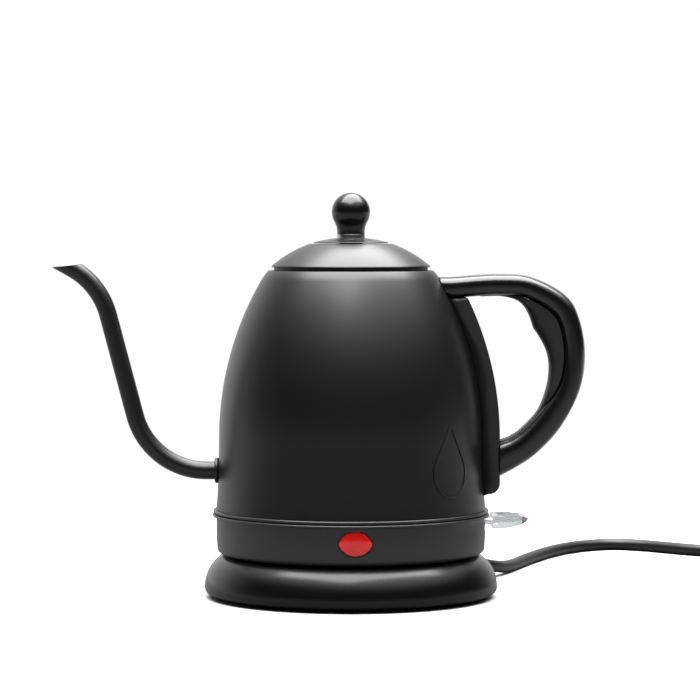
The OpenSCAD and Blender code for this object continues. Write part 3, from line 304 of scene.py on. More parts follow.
def finish(name, colour, rough, metal=0.0, grain=600.0, depth=0.0, mottle=0.06, coat=0.0,
           clear=0.0, gloss=0.5, glow=0.0):
    """A material whose small unevenness is worked out from the piece's own coordinates."""
    material = bpy.data.materials.new(name)
    material.use_nodes = True
    nodes, links = material.node_tree.nodes, material.node_tree.links
    shader = nodes["Principled BSDF"]
    place = nodes.new("ShaderNodeTexCoord")
    noise = nodes.new("ShaderNodeTexNoise")
    noise.inputs["Scale"].default_value = grain
    noise.inputs["Detail"].default_value = 3
    links.new(place.outputs["Object"], noise.inputs["Vector"])
    tint = nodes.new("ShaderNodeValToRGB")
    shades = ([c * (1 - mottle) for c in colour], [min(1, c * (1 + mottle)) for c in colour])
    for stop, position, shade in zip(tint.color_ramp.elements, (0.35, 0.65), shades):
        stop.position = position
        stop.color = (*shade, 1)
    links.new(noise.outputs["Fac"], tint.inputs["Fac"])
    links.new(tint.outputs["Color"], shader.inputs["Base Color"])
    for socket, value in (("Roughness", rough), ("Metallic", metal), ("Coat Weight", coat),
                          ("Coat Roughness", 0.12), ("Transmission Weight", clear),
                          ("Specular IOR Level", gloss)):
        shader.inputs[socket].default_value = value
    if glow:
        shader.inputs["Emission Color"].default_value = (*colour, 1)
        shader.inputs["Emission Strength"].default_value = glow
    if depth:
        bump = nodes.new("ShaderNodeBump")
        bump.inputs["Strength"].default_value = 0.25
        bump.inputs["Distance"].default_value = depth * MM
        links.new(noise.outputs["Fac"], bump.inputs["Height"])
        links.new(bump.outputs["Normal"], shader.inputs["Normal"])
    return material


def dressed(piece, material):
    piece.data.materials.clear()
    piece.data.materials.append(material)
    return piece


BODY_COAT = finish("charcoal coat", (0.0035, 0.0035, 0.0038), 0.35, grain=2600, depth=0.05)
TRIM_COAT = finish("trim coat", (0.016, 0.016, 0.017), 0.32, grain=1500, depth=0.02)
BAND_GREY = finish("grey moulding", (0.020, 0.020, 0.021), 0.36, grain=1500, depth=0.03)
BASE_BLACK = finish("black moulding", (0.003, 0.003, 0.0032), 0.25, grain=1800, depth=0.03,
                    gloss=0.38)
DARK_PLASTIC = finish("dark moulding", (0.010, 0.010, 0.0105), 0.48, grain=1500, depth=0.03)
HANDLE_BLACK = finish("handle satin", (0.005, 0.005, 0.0053), 0.21, grain=2200, depth=0.03,
                      gloss=0.6)
GRIP_BLACK = finish("grip soft", (0.008, 0.008, 0.008), 0.55, grain=2200, depth=0.05)
KNOB_BLACK = finish("knob gloss", (0.003, 0.003, 0.0032), 0.23, grain=300)
STEEL = finish("steel", (0.56, 0.56, 0.55), 0.26, 1.0, grain=500, mottle=0.03)
SCREW_STEEL = finish("screw steel", (0.46, 0.46, 0.47), 0.30, 1.0, grain=700, mottle=0.05)
BRASS = finish("brass", (0.70, 0.50, 0.22), 0.28, 1.0, grain=700)
ALUMINIUM = finish("aluminium", (0.64, 0.65, 0.66), 0.42, 1.0, grain=700)
WHITE_PLASTIC = finish("white moulding", (0.72, 0.71, 0.68), 0.50, grain=900, depth=0.02)
RUBBER = finish("rubber", (0.010, 0.010, 0.010), 0.75, grain=2600, depth=0.05)
SILICONE = finish("silicone", (0.52, 0.52, 0.50), 0.50, grain=900)
CORD_BLACK = finish("cord black", (0.0025, 0.0025, 0.0025), 0.40, grain=2600, depth=0.04)
RED_LENS = finish("red lens", (0.62, 0.012, 0.010), 0.10, grain=200, coat=0.5, glow=0.12)
LAMP = finish("lamp", (0.75, 0.30, 0.20), 0.20, grain=300, clear=0.5)
CLEAR = finish("clear plastic", (0.80, 0.83, 0.84), 0.10, grain=200, mottle=0.02, clear=0.85)
WIRE = finish("wire", (0.45, 0.06, 0.05), 0.45, grain=900)

# Finishes of the nodes whose solids are shown as they are
SHOWN_AS_BUILT = (
    (BASE_BLACK, "base_plate"),
    (RUBBER, "base_feet cord_tie"),
    (DARK_PLASTIC, "base_connector cord_clamp under_cover kettle_socket lid_liner"),
    (BRASS, "base_contacts base_contact_ring socket_contacts"),
    (WIRE, "base_wires inner_wires"),
    (SCREW_STEEL, "base_screws clamp_screws under_cover_screws handle_screws knob_screw"),
    (STEEL, "plug_blades plug_earth_pin vessel_floor heating_element element_terminals"
            " floor_studs dry_boil_discs steam_bimetal lever_pin handle_brackets mouth_ring"
            " body_sleeve"),
    (ALUMINIUM, "heat_spreader"),
    (LAMP, "indicator_lamp"),
    (WHITE_PLASTIC, "lamp_holder control_block steam_switch"),
    (SILICONE, "steam_tube lid_gasket"),
)
for material, nodes in SHOWN_AS_BUILT:
    for node in nodes.split():
        dressed(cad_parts[node], material)


# ---- Mains lead and power base ----

CORD_D = 6.8
CORD_A = math.radians(46)     # direction in which it leaves the base
EXIT_Z = (low("strain_relief") + high("strain_relief")) / 2
RELIEF_TIP = BASE_R + 22
COIL = (256, 137.5)           # middle of the coil
COIL_R = 40
COIL_Z = 4                    # height of the coil's lower layer
COIL_TURN = 450               # one turn and a quarter, clockwise from the back of the coil
PLUG_X = 296


def out_of_base(r, z=EXIT_Z):
    """A place on the line on which the cord leaves the base, at a distance from the axis."""
    return (r * math.cos(CORD_A), r * math.sin(CORD_A), z)


def round_cord():
    """The lead from the base to its plug, laid in one loose curve and one coil."""
    route = [out_of_base(RELIEF_TIP - 44 + i * 11) for i in range(5)]
    route += [out_of_base(RELIEF_TIP + 3)]
    route += [(77, 82, 6.2), (84, 97, 4.2), (90, 114, 3.4), (97, 135, 3.4), (105.5, 158, 3.4),
              (115.5, 181, 3.4), (127, 200, 3.4), (140, 213, 3.4), (155, 219, 3.4),
              (170, 213, 3.4), (183, 202, 3.4), (196, 190, 3.4), (210, 181.5, 3.4),
              (226, 177.5, 3.4), (244, 177, 3.8)]
    for gone in spaced(0, COIL_TURN, 30):
        rise = min(1, max(0, (gone - 234) / 90))
        rise = rise * rise * (3 - 2 * rise)
        a = math.radians(90 - gone)
        route.append((COIL[0] + COIL_R * math.cos(a), COIL[1] + COIL_R * math.sin(a),
                      COIL_Z + CORD_D * rise))
    run_in = ((127, 10.4), (116, 8.4), (105, 5.4), (94, 3.6), (84, 3.9), (73, 6), (62, 8.7),
              (52, 10), (49, 10), (41, 10))
    return route + [(PLUG_X, y, z) for y, z in run_in]


def mains_lead():
    nothing_selected()
    route = [at(*p) for p in round_cord()]
    curve = bpy.data.curves.new("mains_lead", "CURVE")
    curve.dimensions = "3D"
    curve.bevel_depth = 1                # each point's own radius gives the size
    curve.bevel_resolution = 5
    curve.resolution_u = 6
    curve.use_fill_caps = True
    spline = curve.splines.new("BEZIER")
    spline.bezier_points.add(len(route) - 1)
    for point, place in zip(spline.bezier_points, route):
        point.co = place
        point.radius = CORD_D / 2 * MM
        point.handle_left_type = point.handle_right_type = "AUTO"
    piece = bpy.data.objects.new("mains_lead", curve)
    bpy.context.collection.objects.link(piece)
    return piece


def base_shell():
    """The base's moulding: a rounded flank, a small lip round the top and a toe below."""
    flank, belly, wall = 19, 5.5, 2.4    # the flank's radius, its widest line's height
    lip, lip_from = 1.5, 6
    foot_gap, ledge_z, ledge_w = 1.8, 3.9, 1.4
    hub_hole, relief_hole = 17.1, 4.85
    middle, toe = BASE_R - flank, belly - foot_gap
    top_a = math.degrees(math.asin((BASE_H - belly) / flank))
    inner_a = math.degrees(math.asin((BASE_H - wall - belly) / (flank - wall)))
    outline = [(hub_hole, BASE_H - wall)]
    outline += arc(middle, belly, flank - wall, inner_a, 0, 16)
    outline += [(BASE_R - wall, ledge_z), (BASE_R - toe - ledge_w, ledge_z),
                (BASE_R - toe - ledge_w, foot_gap)]
    outline += arc(BASE_R - toe, foot_gap + toe, toe, -90, 0, 10)
    outline += arc(middle, belly, flank, 0, top_a - lip_from, 30)[1:]
    outline += arc(middle + (flank - lip) * cosd(top_a) - 0.2, BASE_H - lip, lip,
                   top_a - lip_from, 90, 6)
    outline += [(hub_hole, BASE_H), (hub_hole, BASE_H - wall)]
    piece = turned("base_shell", outline, 160, 30)
    cut_by(piece, round_rod("relief_hole", out_of_base(BASE_R - 10), out_of_base(BASE_R + 5),
                            relief_hole))
    return shaded(piece, 30)


def relief_sleeve():
    """The ribbed rubber sleeve round the cord where it leaves the base."""
    bore, tip = CORD_D / 2 + 0.05, CORD_D / 2 + 0.7
    neck = CORD_D / 2 + 1.4
    start, length, ribs = BASE_R - 7.8, 21.6, 6
    out = BASE_R + 0.4 - start
    outline = [(bore, 0), (neck + 1.3, 0), (neck + 1.3, 2), (neck, 2.2), (neck, out)]
    for i in range(ribs):
        a, b = out + length * i / ribs, out + length * (i + 1) / ribs
        r0, r1 = (neck + 0.6 - (neck + 0.6 - CORD_D / 2 - 0.7) * j / ribs for j in (i, i + 1))
        gap = 0.22 * (b - a)
        outline += [(r0 - 0.25, a + 0.15), (r0, a + 0.45), (r1 + 0.1, b - gap - 0.3),
                    (r1 - 0.15, b - gap), (r1 - 0.7, b - gap + 0.2), (r1 - 0.7, b - 0.1)]
    outline += [(tip, out + length), (bore, out + length), (bore, 0)]
    return lathed("relief_sleeve", outline, out_of_base(start),
                  (math.cos(CORD_A), math.sin(CORD_A), 0), 48)


def plug_shell():
    """The moulded plug, lying on its side, and its ribbed neck."""
    y, wide, long, thick = 35, 25, 24, 20
    nothing_selected()
    bpy.ops.mesh.primitive_cube_add(size=1, location=at(PLUG_X, y - long / 2, thick / 2))
    piece = bpy.context.object
    piece.name = "plug_shell"
    piece.scale = (wide * MM, long * MM, thick * MM)
    bpy.ops.object.transform_apply(location=False, rotation=False, scale=True)
    bpy.ops.object.mode_set(mode="EDIT")
    bpy.ops.mesh.select_all(action="SELECT")
    bpy.ops.mesh.bevel(offset=3 * MM, segments=4)
    settled(piece, 40)
    neck = lathed("plug_neck", [(0, -0.5), (6.6, -0.5), (6.4, 1), (5.9, 2.2), (6.1, 3), (5.6, 4.6),
                                (5.2, 4.9), (5.3, 6), (5.0, 7.6), (4.6, 7.9), (4.8, 9), (4.5, 10.8),
                                (4.2, 11.2), (4.3, 13.4), (3.6, 14), (0, 14)],
                  (PLUG_X, y, thick / 2), (0, 1, 0), 48)
    return cut_by(piece, neck, "UNION")


# ---- Body, droplet, band and lamp window ----

def vessel():
    """The coated body: one sheet turned from its lower edge to the mouth, with the spout's hole."""
    edge_r = 0.15
    line = line_of_body()
    inner = [p for p in line_of_body(-WALL) if p[0] >= MOUTH_R]
    edge = line[0][0]
    outline = [inner[0], (edge - edge_r, BODY_LOW), (edge, BODY_LOW + edge_r)] + line[1:-1]
    outline += [(MOUTH_R + 0.3, MOUTH_Z - 0.3), (MOUTH_R + 0.08, MOUTH_Z - 0.2),
                (MOUTH_R, MOUTH_Z - 0.4), (MOUTH_R, inner[-1][1])] + inner[::-1]
    piece = turned("vessel", outline, 160, 32)
    cut_by(piece, round_rod("spout_hole", (-BODY_R + 6, 0, SPOUT_Z), (-BODY_R - 5, 0, SPOUT_Z),
                            SPOUT_R + 0.05))
    return shaded(piece, 32)


DROP_R, DROP_LINE = 12.5, 1.3     # radius of the droplet's round end, width of its outline
DROP_Z = WAIST_H - 14.5           # height of the droplet's round end
DROP_A = 47.5                     # angle from the front to the droplet, in degrees
DROP_RISE, DROP_ROOT = 0.35, 0.1  # how far it stands proud, and how deep it is rooted


def droplet(r):
    """A round end that runs up into a point."""
    return [(x, -BODY_R - 5, z + DROP_Z) for x, z in arc(0, 0, r, 150, 390, 40) + [(0, 2 * r)]]


def drop_badge():
    """A plain droplet outline raised on the body."""
    shapes = [slab(name, droplet(r), (0, 12, 0))
              for name, r in (("body_drop", DROP_R), ("drop_inside", DROP_R - DROP_LINE))]
    piece, inside = (round_axis(shape, DROP_A) for shape in shapes)
    cut_by(piece, inside)
    top_z = 100
    outer, under = ([p for p in line_of_body(grow) if p[1] < top_z]
                    for grow in (DROP_RISE, -DROP_ROOT))
    cut_by(piece, turned("drop_skin", outer + under[::-1] + outer[:1], 360), "INTERSECT")
    return softened(piece, 0.14, 2, 50)


WINDOW_W, WINDOW_H = 17, 12.2
WINDOW_A = 1.9          # angle from the front to the window, in degrees
WINDOW_Z = BAND_LOW + 11.2


def pointed_oval(name, grow):
    """A block whose outline is two arcs that meet in a point at each side, at the window."""
    half_w, half_h = WINDOW_W / 2 + grow, WINDOW_H / 2 + grow
    big = (half_w ** 2 / half_h + half_h) / 2
    half = math.degrees(math.asin(half_w / big))
    upper = arc(0, half_h - big, big, 90 - half, 90 + half, 24)
    lower = arc(0, big - half_h, big, 270 - half, 270 + half, 24)
    outline = [(x, -BAND_R - 8, z + WINDOW_Z) for x, z in upper + lower[1:-1]]
    return round_axis(slab(name, outline, (0, 16, 0)), WINDOW_A)


def skirt():
    """The band round the kettle's foot, with its lip, the lamp's window and the lever's slot."""
    inner, foot, foot_t = BAND_R - BAND_WALL, 6, 4
    lip_low = BAND_TOP - 2 * LIP
    outline = [(inner - foot, BAND_LOW)] + arc(BAND_R - 3.4, BAND_LOW + 3, 3, -90, -8, 10)
    outline += [(BAND_R - 0.15, BAND_LOW + 8), (BAND_R, BAND_LOW + 13), (BAND_R, lip_low - 0.4),
                (BAND_R + 0.2, lip_low)]
    outline += arc(radius("skirt_band") - LIP, lip_low + LIP, LIP, -90, 90, 10)
    outline += [(inner, BAND_TOP), (inner, BAND_LOW + foot_t), (inner - foot, BAND_LOW + foot_t),
                (inner - foot, BAND_LOW)]
    piece = turned("skirt", outline, 160, 30)
    cut_by(piece, pointed_oval("window", 0.35))
    slot_in, slot_out, slot_low, slot_top = 55, 90, PIVOT_Z - 5.4, PIVOT_Z + 2.2
    cut_by(piece, side_slab("slot", [(slot_in, slot_low), (slot_out, slot_low),
                                     (slot_out, slot_top), (slot_in, slot_top)], 8.8))
    return shaded(piece, 30)


def lens():
    """The red window: a pointed oval whose face is domed a little beyond the band."""
    piece = pointed_oval("lens", -0.1)
    back, proud, sag, half = BAND_R - 2.9, 0.6, 0.5, 6
    dome = turned("lens_dome", [(back, WINDOW_Z - 9)]
                  + [(BAND_R + proud - sag * (i / half) ** 2, WINDOW_Z + i)
                     for i in range(-half, half + 1)]
                  + [(back, WINDOW_Z + 9), (back, WINDOW_Z - 9)], 240)
    cut_by(piece, dome, "INTERSECT")
    return softened(piece, 0.35, 3, 50)


def trim():
    inner = BAND_R - BAND_WALL
    outline = [(inner, TRIM_LOW)]
    outline += arc(radius("trim_ring") - LIP, TRIM_LOW + LIP, LIP, -90, 90, 12)
    outline += [(inner, TRIM_LOW + 2 * LIP), (inner, TRIM_LOW)]
    return turned("trim", outline, 160, 30)


# ---- Spout ----

SPOUT_R = 4.6                   # radius inside the sheet
SPOUT_SHEET = 0.6
SPOUT_Z = low("spout_collar") + 6.5
LOW_BEND, HIGH_BEND = 38, 38.7  # radius of the bend at the body and of the one at the mouth
RISE = 90 - 14.8                # slope of the straight run between them
MOUTH_RISE, MOUTH_CUT = 29.3, 7.5
TIP_RUN, MOUTH_H = 2.6, 170.2


def spout_line():
    """Stations (x, z, direction of the upper side) from the body to the mouth, and the mouth."""
    bend_x = -(BODY_R + 6.5)
    end = (bend_x - LOW_BEND * sind(RISE), SPOUT_Z + LOW_BEND * (1 - cosd(RISE)))
    start_z = MOUTH_H - TIP_RUN * sind(MOUTH_RISE) - HIGH_BEND * (cosd(MOUTH_RISE) - cosd(RISE))
    length = (start_z - end[1]) / sind(RISE)
    start = (end[0] - length * cosd(RISE), start_z)
    centre = (start[0] - HIGH_BEND * sind(RISE), start[1] - HIGH_BEND * cosd(RISE))
    line = [(WALL + 0.6 - body_at(SPOUT_Z), SPOUT_Z, 90)]
    for a in spaced(0, RISE, 20):
        line.append((bend_x - LOW_BEND * sind(a), SPOUT_Z + LOW_BEND * (1 - cosd(a)), 90 - a))
    for a in spaced(RISE, MOUTH_RISE, 14):
        line.append((centre[0] + HIGH_BEND * sind(a), centre[1] + HIGH_BEND * cosd(a), 90 - a))
    x, z, way = line[-1]
    run = TIP_RUN + 9           # beyond the mouth, where the slanted cut takes it off
    line.append((x - run * cosd(MOUTH_RISE), z + run * sind(MOUTH_RISE), way))
    return line, at(x - TIP_RUN * cosd(MOUTH_RISE), 0, z + TIP_RUN * sind(MOUTH_RISE))


def spout():
    line, mouth = spout_line()
    ring = arc(0, 0, 1, 0, 352.5, 47)
    piece = swept("spout", ring, [(x, z, way, SPOUT_R, SPOUT_R) for x, z, way in line],
                  filled=False)
    bpy.ops.mesh.select_all(action="SELECT")
    bpy.ops.mesh.bisect(plane_co=mouth, plane_no=(-sind(MOUTH_CUT), 0, cosd(MOUTH_CUT)),
                        clear_outer=True)
    settled(piece)
    applied(piece, "SOLIDIFY", thickness=SPOUT_SHEET * MM, offset=1)
    return settled(piece, 40)


def collar():
    """The ring where the spout meets the body, cut to the body's curve."""
    r, deep, long = SPOUT_R + 1.9, 4, 2
    outline = [(SPOUT_R, -deep), (r, -deep), (r, long - 0.7), (r - 0.25, long - 0.25),
               (r - 0.8, long), (SPOUT_R + 0.5, long), (SPOUT_R, long - 0.4), (SPOUT_R, -deep)]
    return fitted_to_body(lathed("collar", outline, (-body_at(SPOUT_Z), 0, SPOUT_Z), (-1, 0, 0)))


# ---- Handle ----

BAR_Z = 160.4                   # height of the upper bar's middle
FOOT_Z = 71.5                   # height of the handle's lower end
BAR_T, SIDE_T, LOW_T = 11.2, 11.8, 14.6
HANDLE_W, HANDLE_WALL = 22, 2.2
SPINE_T = 8.5
SPINE_X = BODY_R + SPINE_T
SIDE_X = 120.2 - SIDE_T / 2
SWELL = 11                      # greatest thickness of the finger rest
OPEN_A = 151                    # how far the shell reaches round towards the fingers


def between(p, q, r, t, f):
    """A smooth curve through four values, taken at a share f of the way from q to r."""
    return (2 * q + (r - p) * f + (2 * p - 5 * q + 4 * r - t) * f * f
            + (3 * q - p - 3 * r + t) * f ** 3) / 2


def handle_line(steps=5):
    """Stations (x, z, direction of the outer face, thickness, swell of the finger rest)."""
    root_x = body_at(BAR_Z) + 4.6

    def across(u):
        return SPINE_X + u * (SIDE_X - SPINE_X)

    def up(v):
        return FOOT_Z + v * (BAR_Z - FOOT_Z)

    marks = [
        (root_x - 8, up(0.984), 92, BAR_T, 0),
        (root_x, up(0.984), 92, BAR_T, 0),
        ((root_x + SPINE_X) / 2, up(0.995), 91, BAR_T, 0),
        (SPINE_X, up(1), 90, BAR_T, 0),
        (across(0.37), up(0.986), 73, (BAR_T + SIDE_T) / 2, 0.28 * SWELL),
        (across(0.765), up(0.896), 45, SIDE_T + 0.6, 0.98 * SWELL),
        (across(0.93), up(0.785), 22, SIDE_T, SWELL),
        (across(1), up(0.6), 0, SIDE_T, 0.68 * SWELL),
        (across(0.93), up(0.413), -17, SIDE_T + 0.3, 0.44 * SWELL),
        (across(0.68), up(0.23), -36, LOW_T - 0.4, 0.02 * SWELL),
        (across(0.41), up(0.104), -47, LOW_T, 0),
        (across(0.2), up(0.04), -74, LOW_T + 1.1, 0),
        (across(0.005), FOOT_Z, -90, LOW_T + 3.7, 0)]
    line = []
    for i in range(len(marks) - 1):
        near = (marks[max(i - 1, 0)], marks[i], marks[i + 1], marks[min(i + 2, len(marks) - 1)])
        for s in range(steps):
            line.append(tuple(between(*values, s / steps) for values in zip(*near)))
    return line + [marks[-1]]


def bulged(v, power=0.66):
    return math.copysign(abs(v) ** power, v)


def handle_shell():
    """The outer shell of the handle, open towards the fingers."""
    a, b, w = BAR_T / 2, HANDLE_W / 2, HANDLE_WALL
    angles = [math.radians(v) for v in spaced(-OPEN_A, OPEN_A, 36)]
    ring = [(a * bulged(math.cos(p)), b * bulged(math.sin(p))) for p in angles]
    ring += [((a - w) * bulged(math.cos(p)), (b - w) * bulged(math.sin(p))) for p in angles[::-1]]
    stations = [(x, z, way, t / BAR_T, 1) for x, z, way, t, swell in handle_line()]
    return fitted_to_body(settled(swept("handle", ring, stations), 38), 0.1)


def finger_rest():
    """The soft rest that fills the shell's open side and swells under the fingers."""
    first = 11                  # station of the line at which the rest begins
    b, w = HANDLE_W / 2, HANDLE_WALL
    stem = (b - w) * bulged(sind(OPEN_A)) - 0.15
    stations = []
    for x, z, way, t, swell in handle_line()[first:]:
        a, swell = t / 2, max(0, swell)
        edge = -a * bulged(-cosd(OPEN_A)) - 0.05
        wide = stem + 0.5 + (b - 2.1 - stem) * min(1, swell / 3)
        stations.append((x + edge * cosd(way), z + edge * sind(way), way, a + edge + swell, wide))
    angles = [math.radians(v) for v in spaced(90, -90, 20)]
    ring = [(-abs(math.cos(p)) ** 0.6, bulged(math.sin(p), 0.6)) for p in angles]
    return settled(swept("finger_rest", ring, stations), 50)


def handle_back():
    """The spine that runs down the body and carries the handle's lower end."""
    slope, climb, corner, half_w = 0.8, 0.6, 5.5, 10
    low_z, top_z = low("handle_spine") + slope, high("handle_spine")
    curve_r = 0.97 * (DOME_R + SPINE_T)
    top_a = math.degrees(math.asin((top_z - WAIST_H) / curve_r))
    side = [(58, low_z - slope), (BODY_R, low_z - slope)]
    side += arc(SPINE_X - corner, low_z + corner, corner, -90, 0, 10)
    side += arc(SPINE_X - curve_r, WAIST_H, curve_r, 0, top_a, 30)
    side += [(body_at(BAR_Z) + 6.6, top_z - climb), (40, top_z - climb)]
    return fitted_to_body(softened(side_slab("handle_back", side, half_w), 1.6, 4, 50), 0.1)


# ---- Lid ----

LID_R = 62.4            # radius of the lid's dome
LID_EDGE_R = MOUTH_R - 1.35
LID_EDGE_Z = MOUTH_Z + 1.5
LID_CZ = LID_EDGE_Z + 0.6 - math.sqrt(LID_R ** 2 - LID_EDGE_R ** 2)
LID_T = 0.6
SEAT_R = 21.4           # edge of the flat that the knob's plate stands on
CROWN_R = 74            # radius of the knob plate's dome
BORE = 2                # radius of the screw's hole
KNOB_R = 9.85
KNOB_Z = high("lid_knob") - KNOB_R


def dome_z(r, drop=0.0):
    return LID_CZ + math.sqrt((LID_R - drop) ** 2 - r ** 2)


SEAT_Z = dome_z(SEAT_R)


def crown_z(r):
    return high("knob_plate") - CROWN_R + math.sqrt(CROWN_R ** 2 - r ** 2)


def lid_cap():
    edge, t = LID_EDGE_R, LID_T
    under_r = math.sqrt((LID_R - t) ** 2 - (SEAT_Z - t - LID_CZ) ** 2)
    outline = [(BORE, SEAT_Z - t)] + [(r, dome_z(r, t)) for r in spaced(under_r, edge - t, 24)]
    outline += [(edge - 0.3, LID_EDGE_Z + 0.02), (edge - 0.08, LID_EDGE_Z + 0.1),
                (edge, LID_EDGE_Z + 0.28), (edge - 0.04, LID_EDGE_Z + 0.5)]
    outline += [(r, dome_z(r)) for r in spaced(edge - 0.2, SEAT_R, 32)]
    outline += [(SEAT_R - 0.4, SEAT_Z), (BORE, SEAT_Z), (BORE, SEAT_Z - t)]
    return turned("lid_cap", outline, 144, 32)


def crown_plate():
    """The small domed plate under the knob, hollow outside its foot."""
    edge, foot, sheet = radius("knob_plate"), 6, 1
    under = SEAT_Z + 0.35
    outline = [(BORE, SEAT_Z), (foot, SEAT_Z)]
    outline += [(r, max(crown_z(r) - sheet, under)) for r in spaced(foot, edge - 0.12, 12)]
    outline += [(edge, under + 0.1), (edge, crown_z(edge) - 0.14),
                (edge - 0.05, crown_z(edge) - 0.04)]
    outline += [(r, crown_z(r)) for r in spaced(edge - 0.18, BORE, 20)] + [(BORE, SEAT_Z)]
    return turned("crown_plate", outline, 144, 32)


def knob_collar():
    r, top = radius("knob_ring"), high("knob_ring")
    outline = [(BORE, crown_z(BORE)), (BORE, top), (r - 0.35, top), (r - 0.1, top - 0.1),
               (r, top - 0.35), (r, crown_z(r))]
    outline += [(x, crown_z(x)) for x in spaced(r - 1, BORE, 4)]
    return turned("knob_collar", outline, 96, 32)


def knob():
    """A ball on a waisted neck."""
    neck, fillet, low_z = 7.1, 11, high("knob_ring")
    drop = math.sqrt((KNOB_R + fillet) ** 2 - (neck + fillet) ** 2)
    turn = math.degrees(math.atan(drop / (neck + fillet)))
    outline = [(0, low_z), (neck - 0.2, low_z), (neck, low_z + 0.2)]
    outline += arc(neck + fillet, KNOB_Z - drop, fillet, 180, 180 - turn, 12)
    outline += arc(0, KNOB_Z, KNOB_R, -turn, 90, 40)[1:]
    return turned("knob", outline, 96, 40)


# ---- Switch lever ----

LEVER_ROOT, LEVER_END = BODY_R + 3.4 + 1.1, BODY_R + 23.8
LEVER_W, LEVER_T = 29, 6.2
STEM_IN, STEM_W, STEM_T = 55, 16, 3.4


def paddle():
    """The part that a finger presses: a wedge seen from the side, tapered seen from above."""
    top, end = PIVOT_Z + LEVER_T / 2, LEVER_END
    side = [(LEVER_ROOT, top), (end - 5.5, top), (end - 3, top - 0.6), (end, PIVOT_Z + 1),
            (end - 1.4, PIVOT_Z - 0.1), (end - 4.5, PIVOT_Z - 1.6), (end - 9, PIVOT_Z - 2.6),
            (end - 14, PIVOT_Z - LEVER_T / 2), (LEVER_ROOT, PIVOT_Z - LEVER_T / 2)]
    piece = side_slab("lever", side, LEVER_W / 2)
    half_w, corner, shoulder = LEVER_W / 2, 5, 4
    tip, corner_x = 0.66 * LEVER_W / 2, end - corner - 1.4
    a = math.degrees(math.atan2(half_w - tip, corner_x - LEVER_ROOT - shoulder))
    half = [(LEVER_ROOT, half_w), (LEVER_ROOT + shoulder, half_w)]
    half += arc(corner_x, tip - corner, corner, 90 - a, 12, 6) + [(end - 0.1, 2)]
    outline = half + [(x, -y) for x, y in half[::-1]]
    plan = slab("lever_plan", [(x, y, PIVOT_Z - LEVER_T) for x, y in outline], (0, 0, 2 * LEVER_T))
    return cut_by(piece, plan, "INTERSECT")


def grooves():
    """Seven short grooves with a rounded bed, which a finger feels on the paddle."""
    middle, bed_r, bed_z = (LEVER_ROOT + LEVER_END) / 2 - 2, 11.4, PIVOT_Z + LEVER_T / 2 + 9.4
    scoop = round_rod("scoop", (middle, -LEVER_W, bed_z), (middle, LEVER_W, bed_z), bed_r, 64)
    start, end, half, pitch = LEVER_ROOT + 2.5, LEVER_END - 4.5, 1.1, LEVER_W / 8.5
    bars = [slab("bar", [(start, y - half, PIVOT_Z), (end, y - half, PIVOT_Z),
                         (end, y + half, PIVOT_Z), (start, y + half, PIVOT_Z)], (0, 0, LEVER_T))
            for y in (i * pitch for i in range(-3, 4))]
    nothing_selected()
    for bar in bars:
        bar.select_set(True)
    bpy.context.view_layer.objects.active = bars[0]
    bpy.ops.object.join()
    return cut_by(scoop, bars[0], "INTERSECT")


def lever():
    """The clear paddle with its grooves, its stem and the hub that its pin goes through."""
    piece = softened(cut_by(paddle(), grooves()), 0.25, 2, 35)
    stem_out, half_t, half_w = LEVER_ROOT + 1, STEM_T / 2, STEM_W / 2
    stem = side_slab("stem", [(STEM_IN, PIVOT_Z - half_t), (stem_out, PIVOT_Z - half_t),
                              (stem_out, PIVOT_Z + half_t), (STEM_IN, PIVOT_Z + half_t)], half_w)
    cut_by(piece, stem, "UNION")
    cut_by(piece, round_rod("lever_hub", (STEM_IN, -half_w, PIVOT_Z), (STEM_IN, half_w, PIVOT_Z),
                            3.6), "UNION")
    return cut_by(piece, round_rod("lever_bore", (STEM_IN, -STEM_W, PIVOT_Z),
                                   (STEM_IN, STEM_W, PIVOT_Z), 1.55))


# ---- The pieces in their places ----

def stands_for(piece, body, material, slot, *nodes):
    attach(piece, body)
    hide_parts(*nodes)
    return dressed(piece, material)


lead = stands_for(mains_lead(), "power_base", CORD_BLACK, "cord_black",
                  "cord_tail", "cord", "cord_coil", "cord_end")
stands_for(base_shell(), "power_base", BASE_BLACK, "black_moulding", "base_housing")
stands_for(relief_sleeve(), "power_base", RUBBER, "cord_black", "strain_relief")
stands_for(plug_shell(), "power_base", CORD_BLACK, "plug_black", "plug_body")

stands_for(vessel(), "kettle", BODY_COAT, "coated_steel", "vessel_shell")
stands_for(drop_badge(), "kettle", BODY_COAT, "coated_steel", "body_motif")
stands_for(spout(), "kettle", BODY_COAT, "coated_steel", "spout_tube")
stands_for(collar(), "kettle", BODY_COAT, "coated_steel", "spout_collar")
stands_for(skirt(), "kettle", BAND_GREY, "band_moulding", "skirt_band")
stands_for(trim(), "kettle", TRIM_COAT, "coated_trim", "trim_ring")
stands_for(lens(), "kettle", RED_LENS, "lens_red", "indicator_lens")
stands_for(handle_shell(), "kettle", HANDLE_BLACK, "handle_satin", "handle_shell")
stands_for(finger_rest(), "kettle", GRIP_BLACK, "grip_soft", "handle_grip")
stands_for(handle_back(), "kettle", DARK_PLASTIC, "handle_satin", "handle_spine")
stands_for(lid_cap(), "lid", BODY_COAT, "coated_steel", "lid_dome")
stands_for(crown_plate(), "lid", BODY_COAT, "coated_trim", "knob_plate")
stands_for(knob_collar(), "lid", STEEL, "coated_trim", "knob_ring")
stands_for(knob(), "lid", KNOB_BLACK, "knob_gloss", "lid_knob")
stands_for(lever(), "switch", CLEAR, "lever_clear", "switch_lever")


# ---- Room, light and camera ----

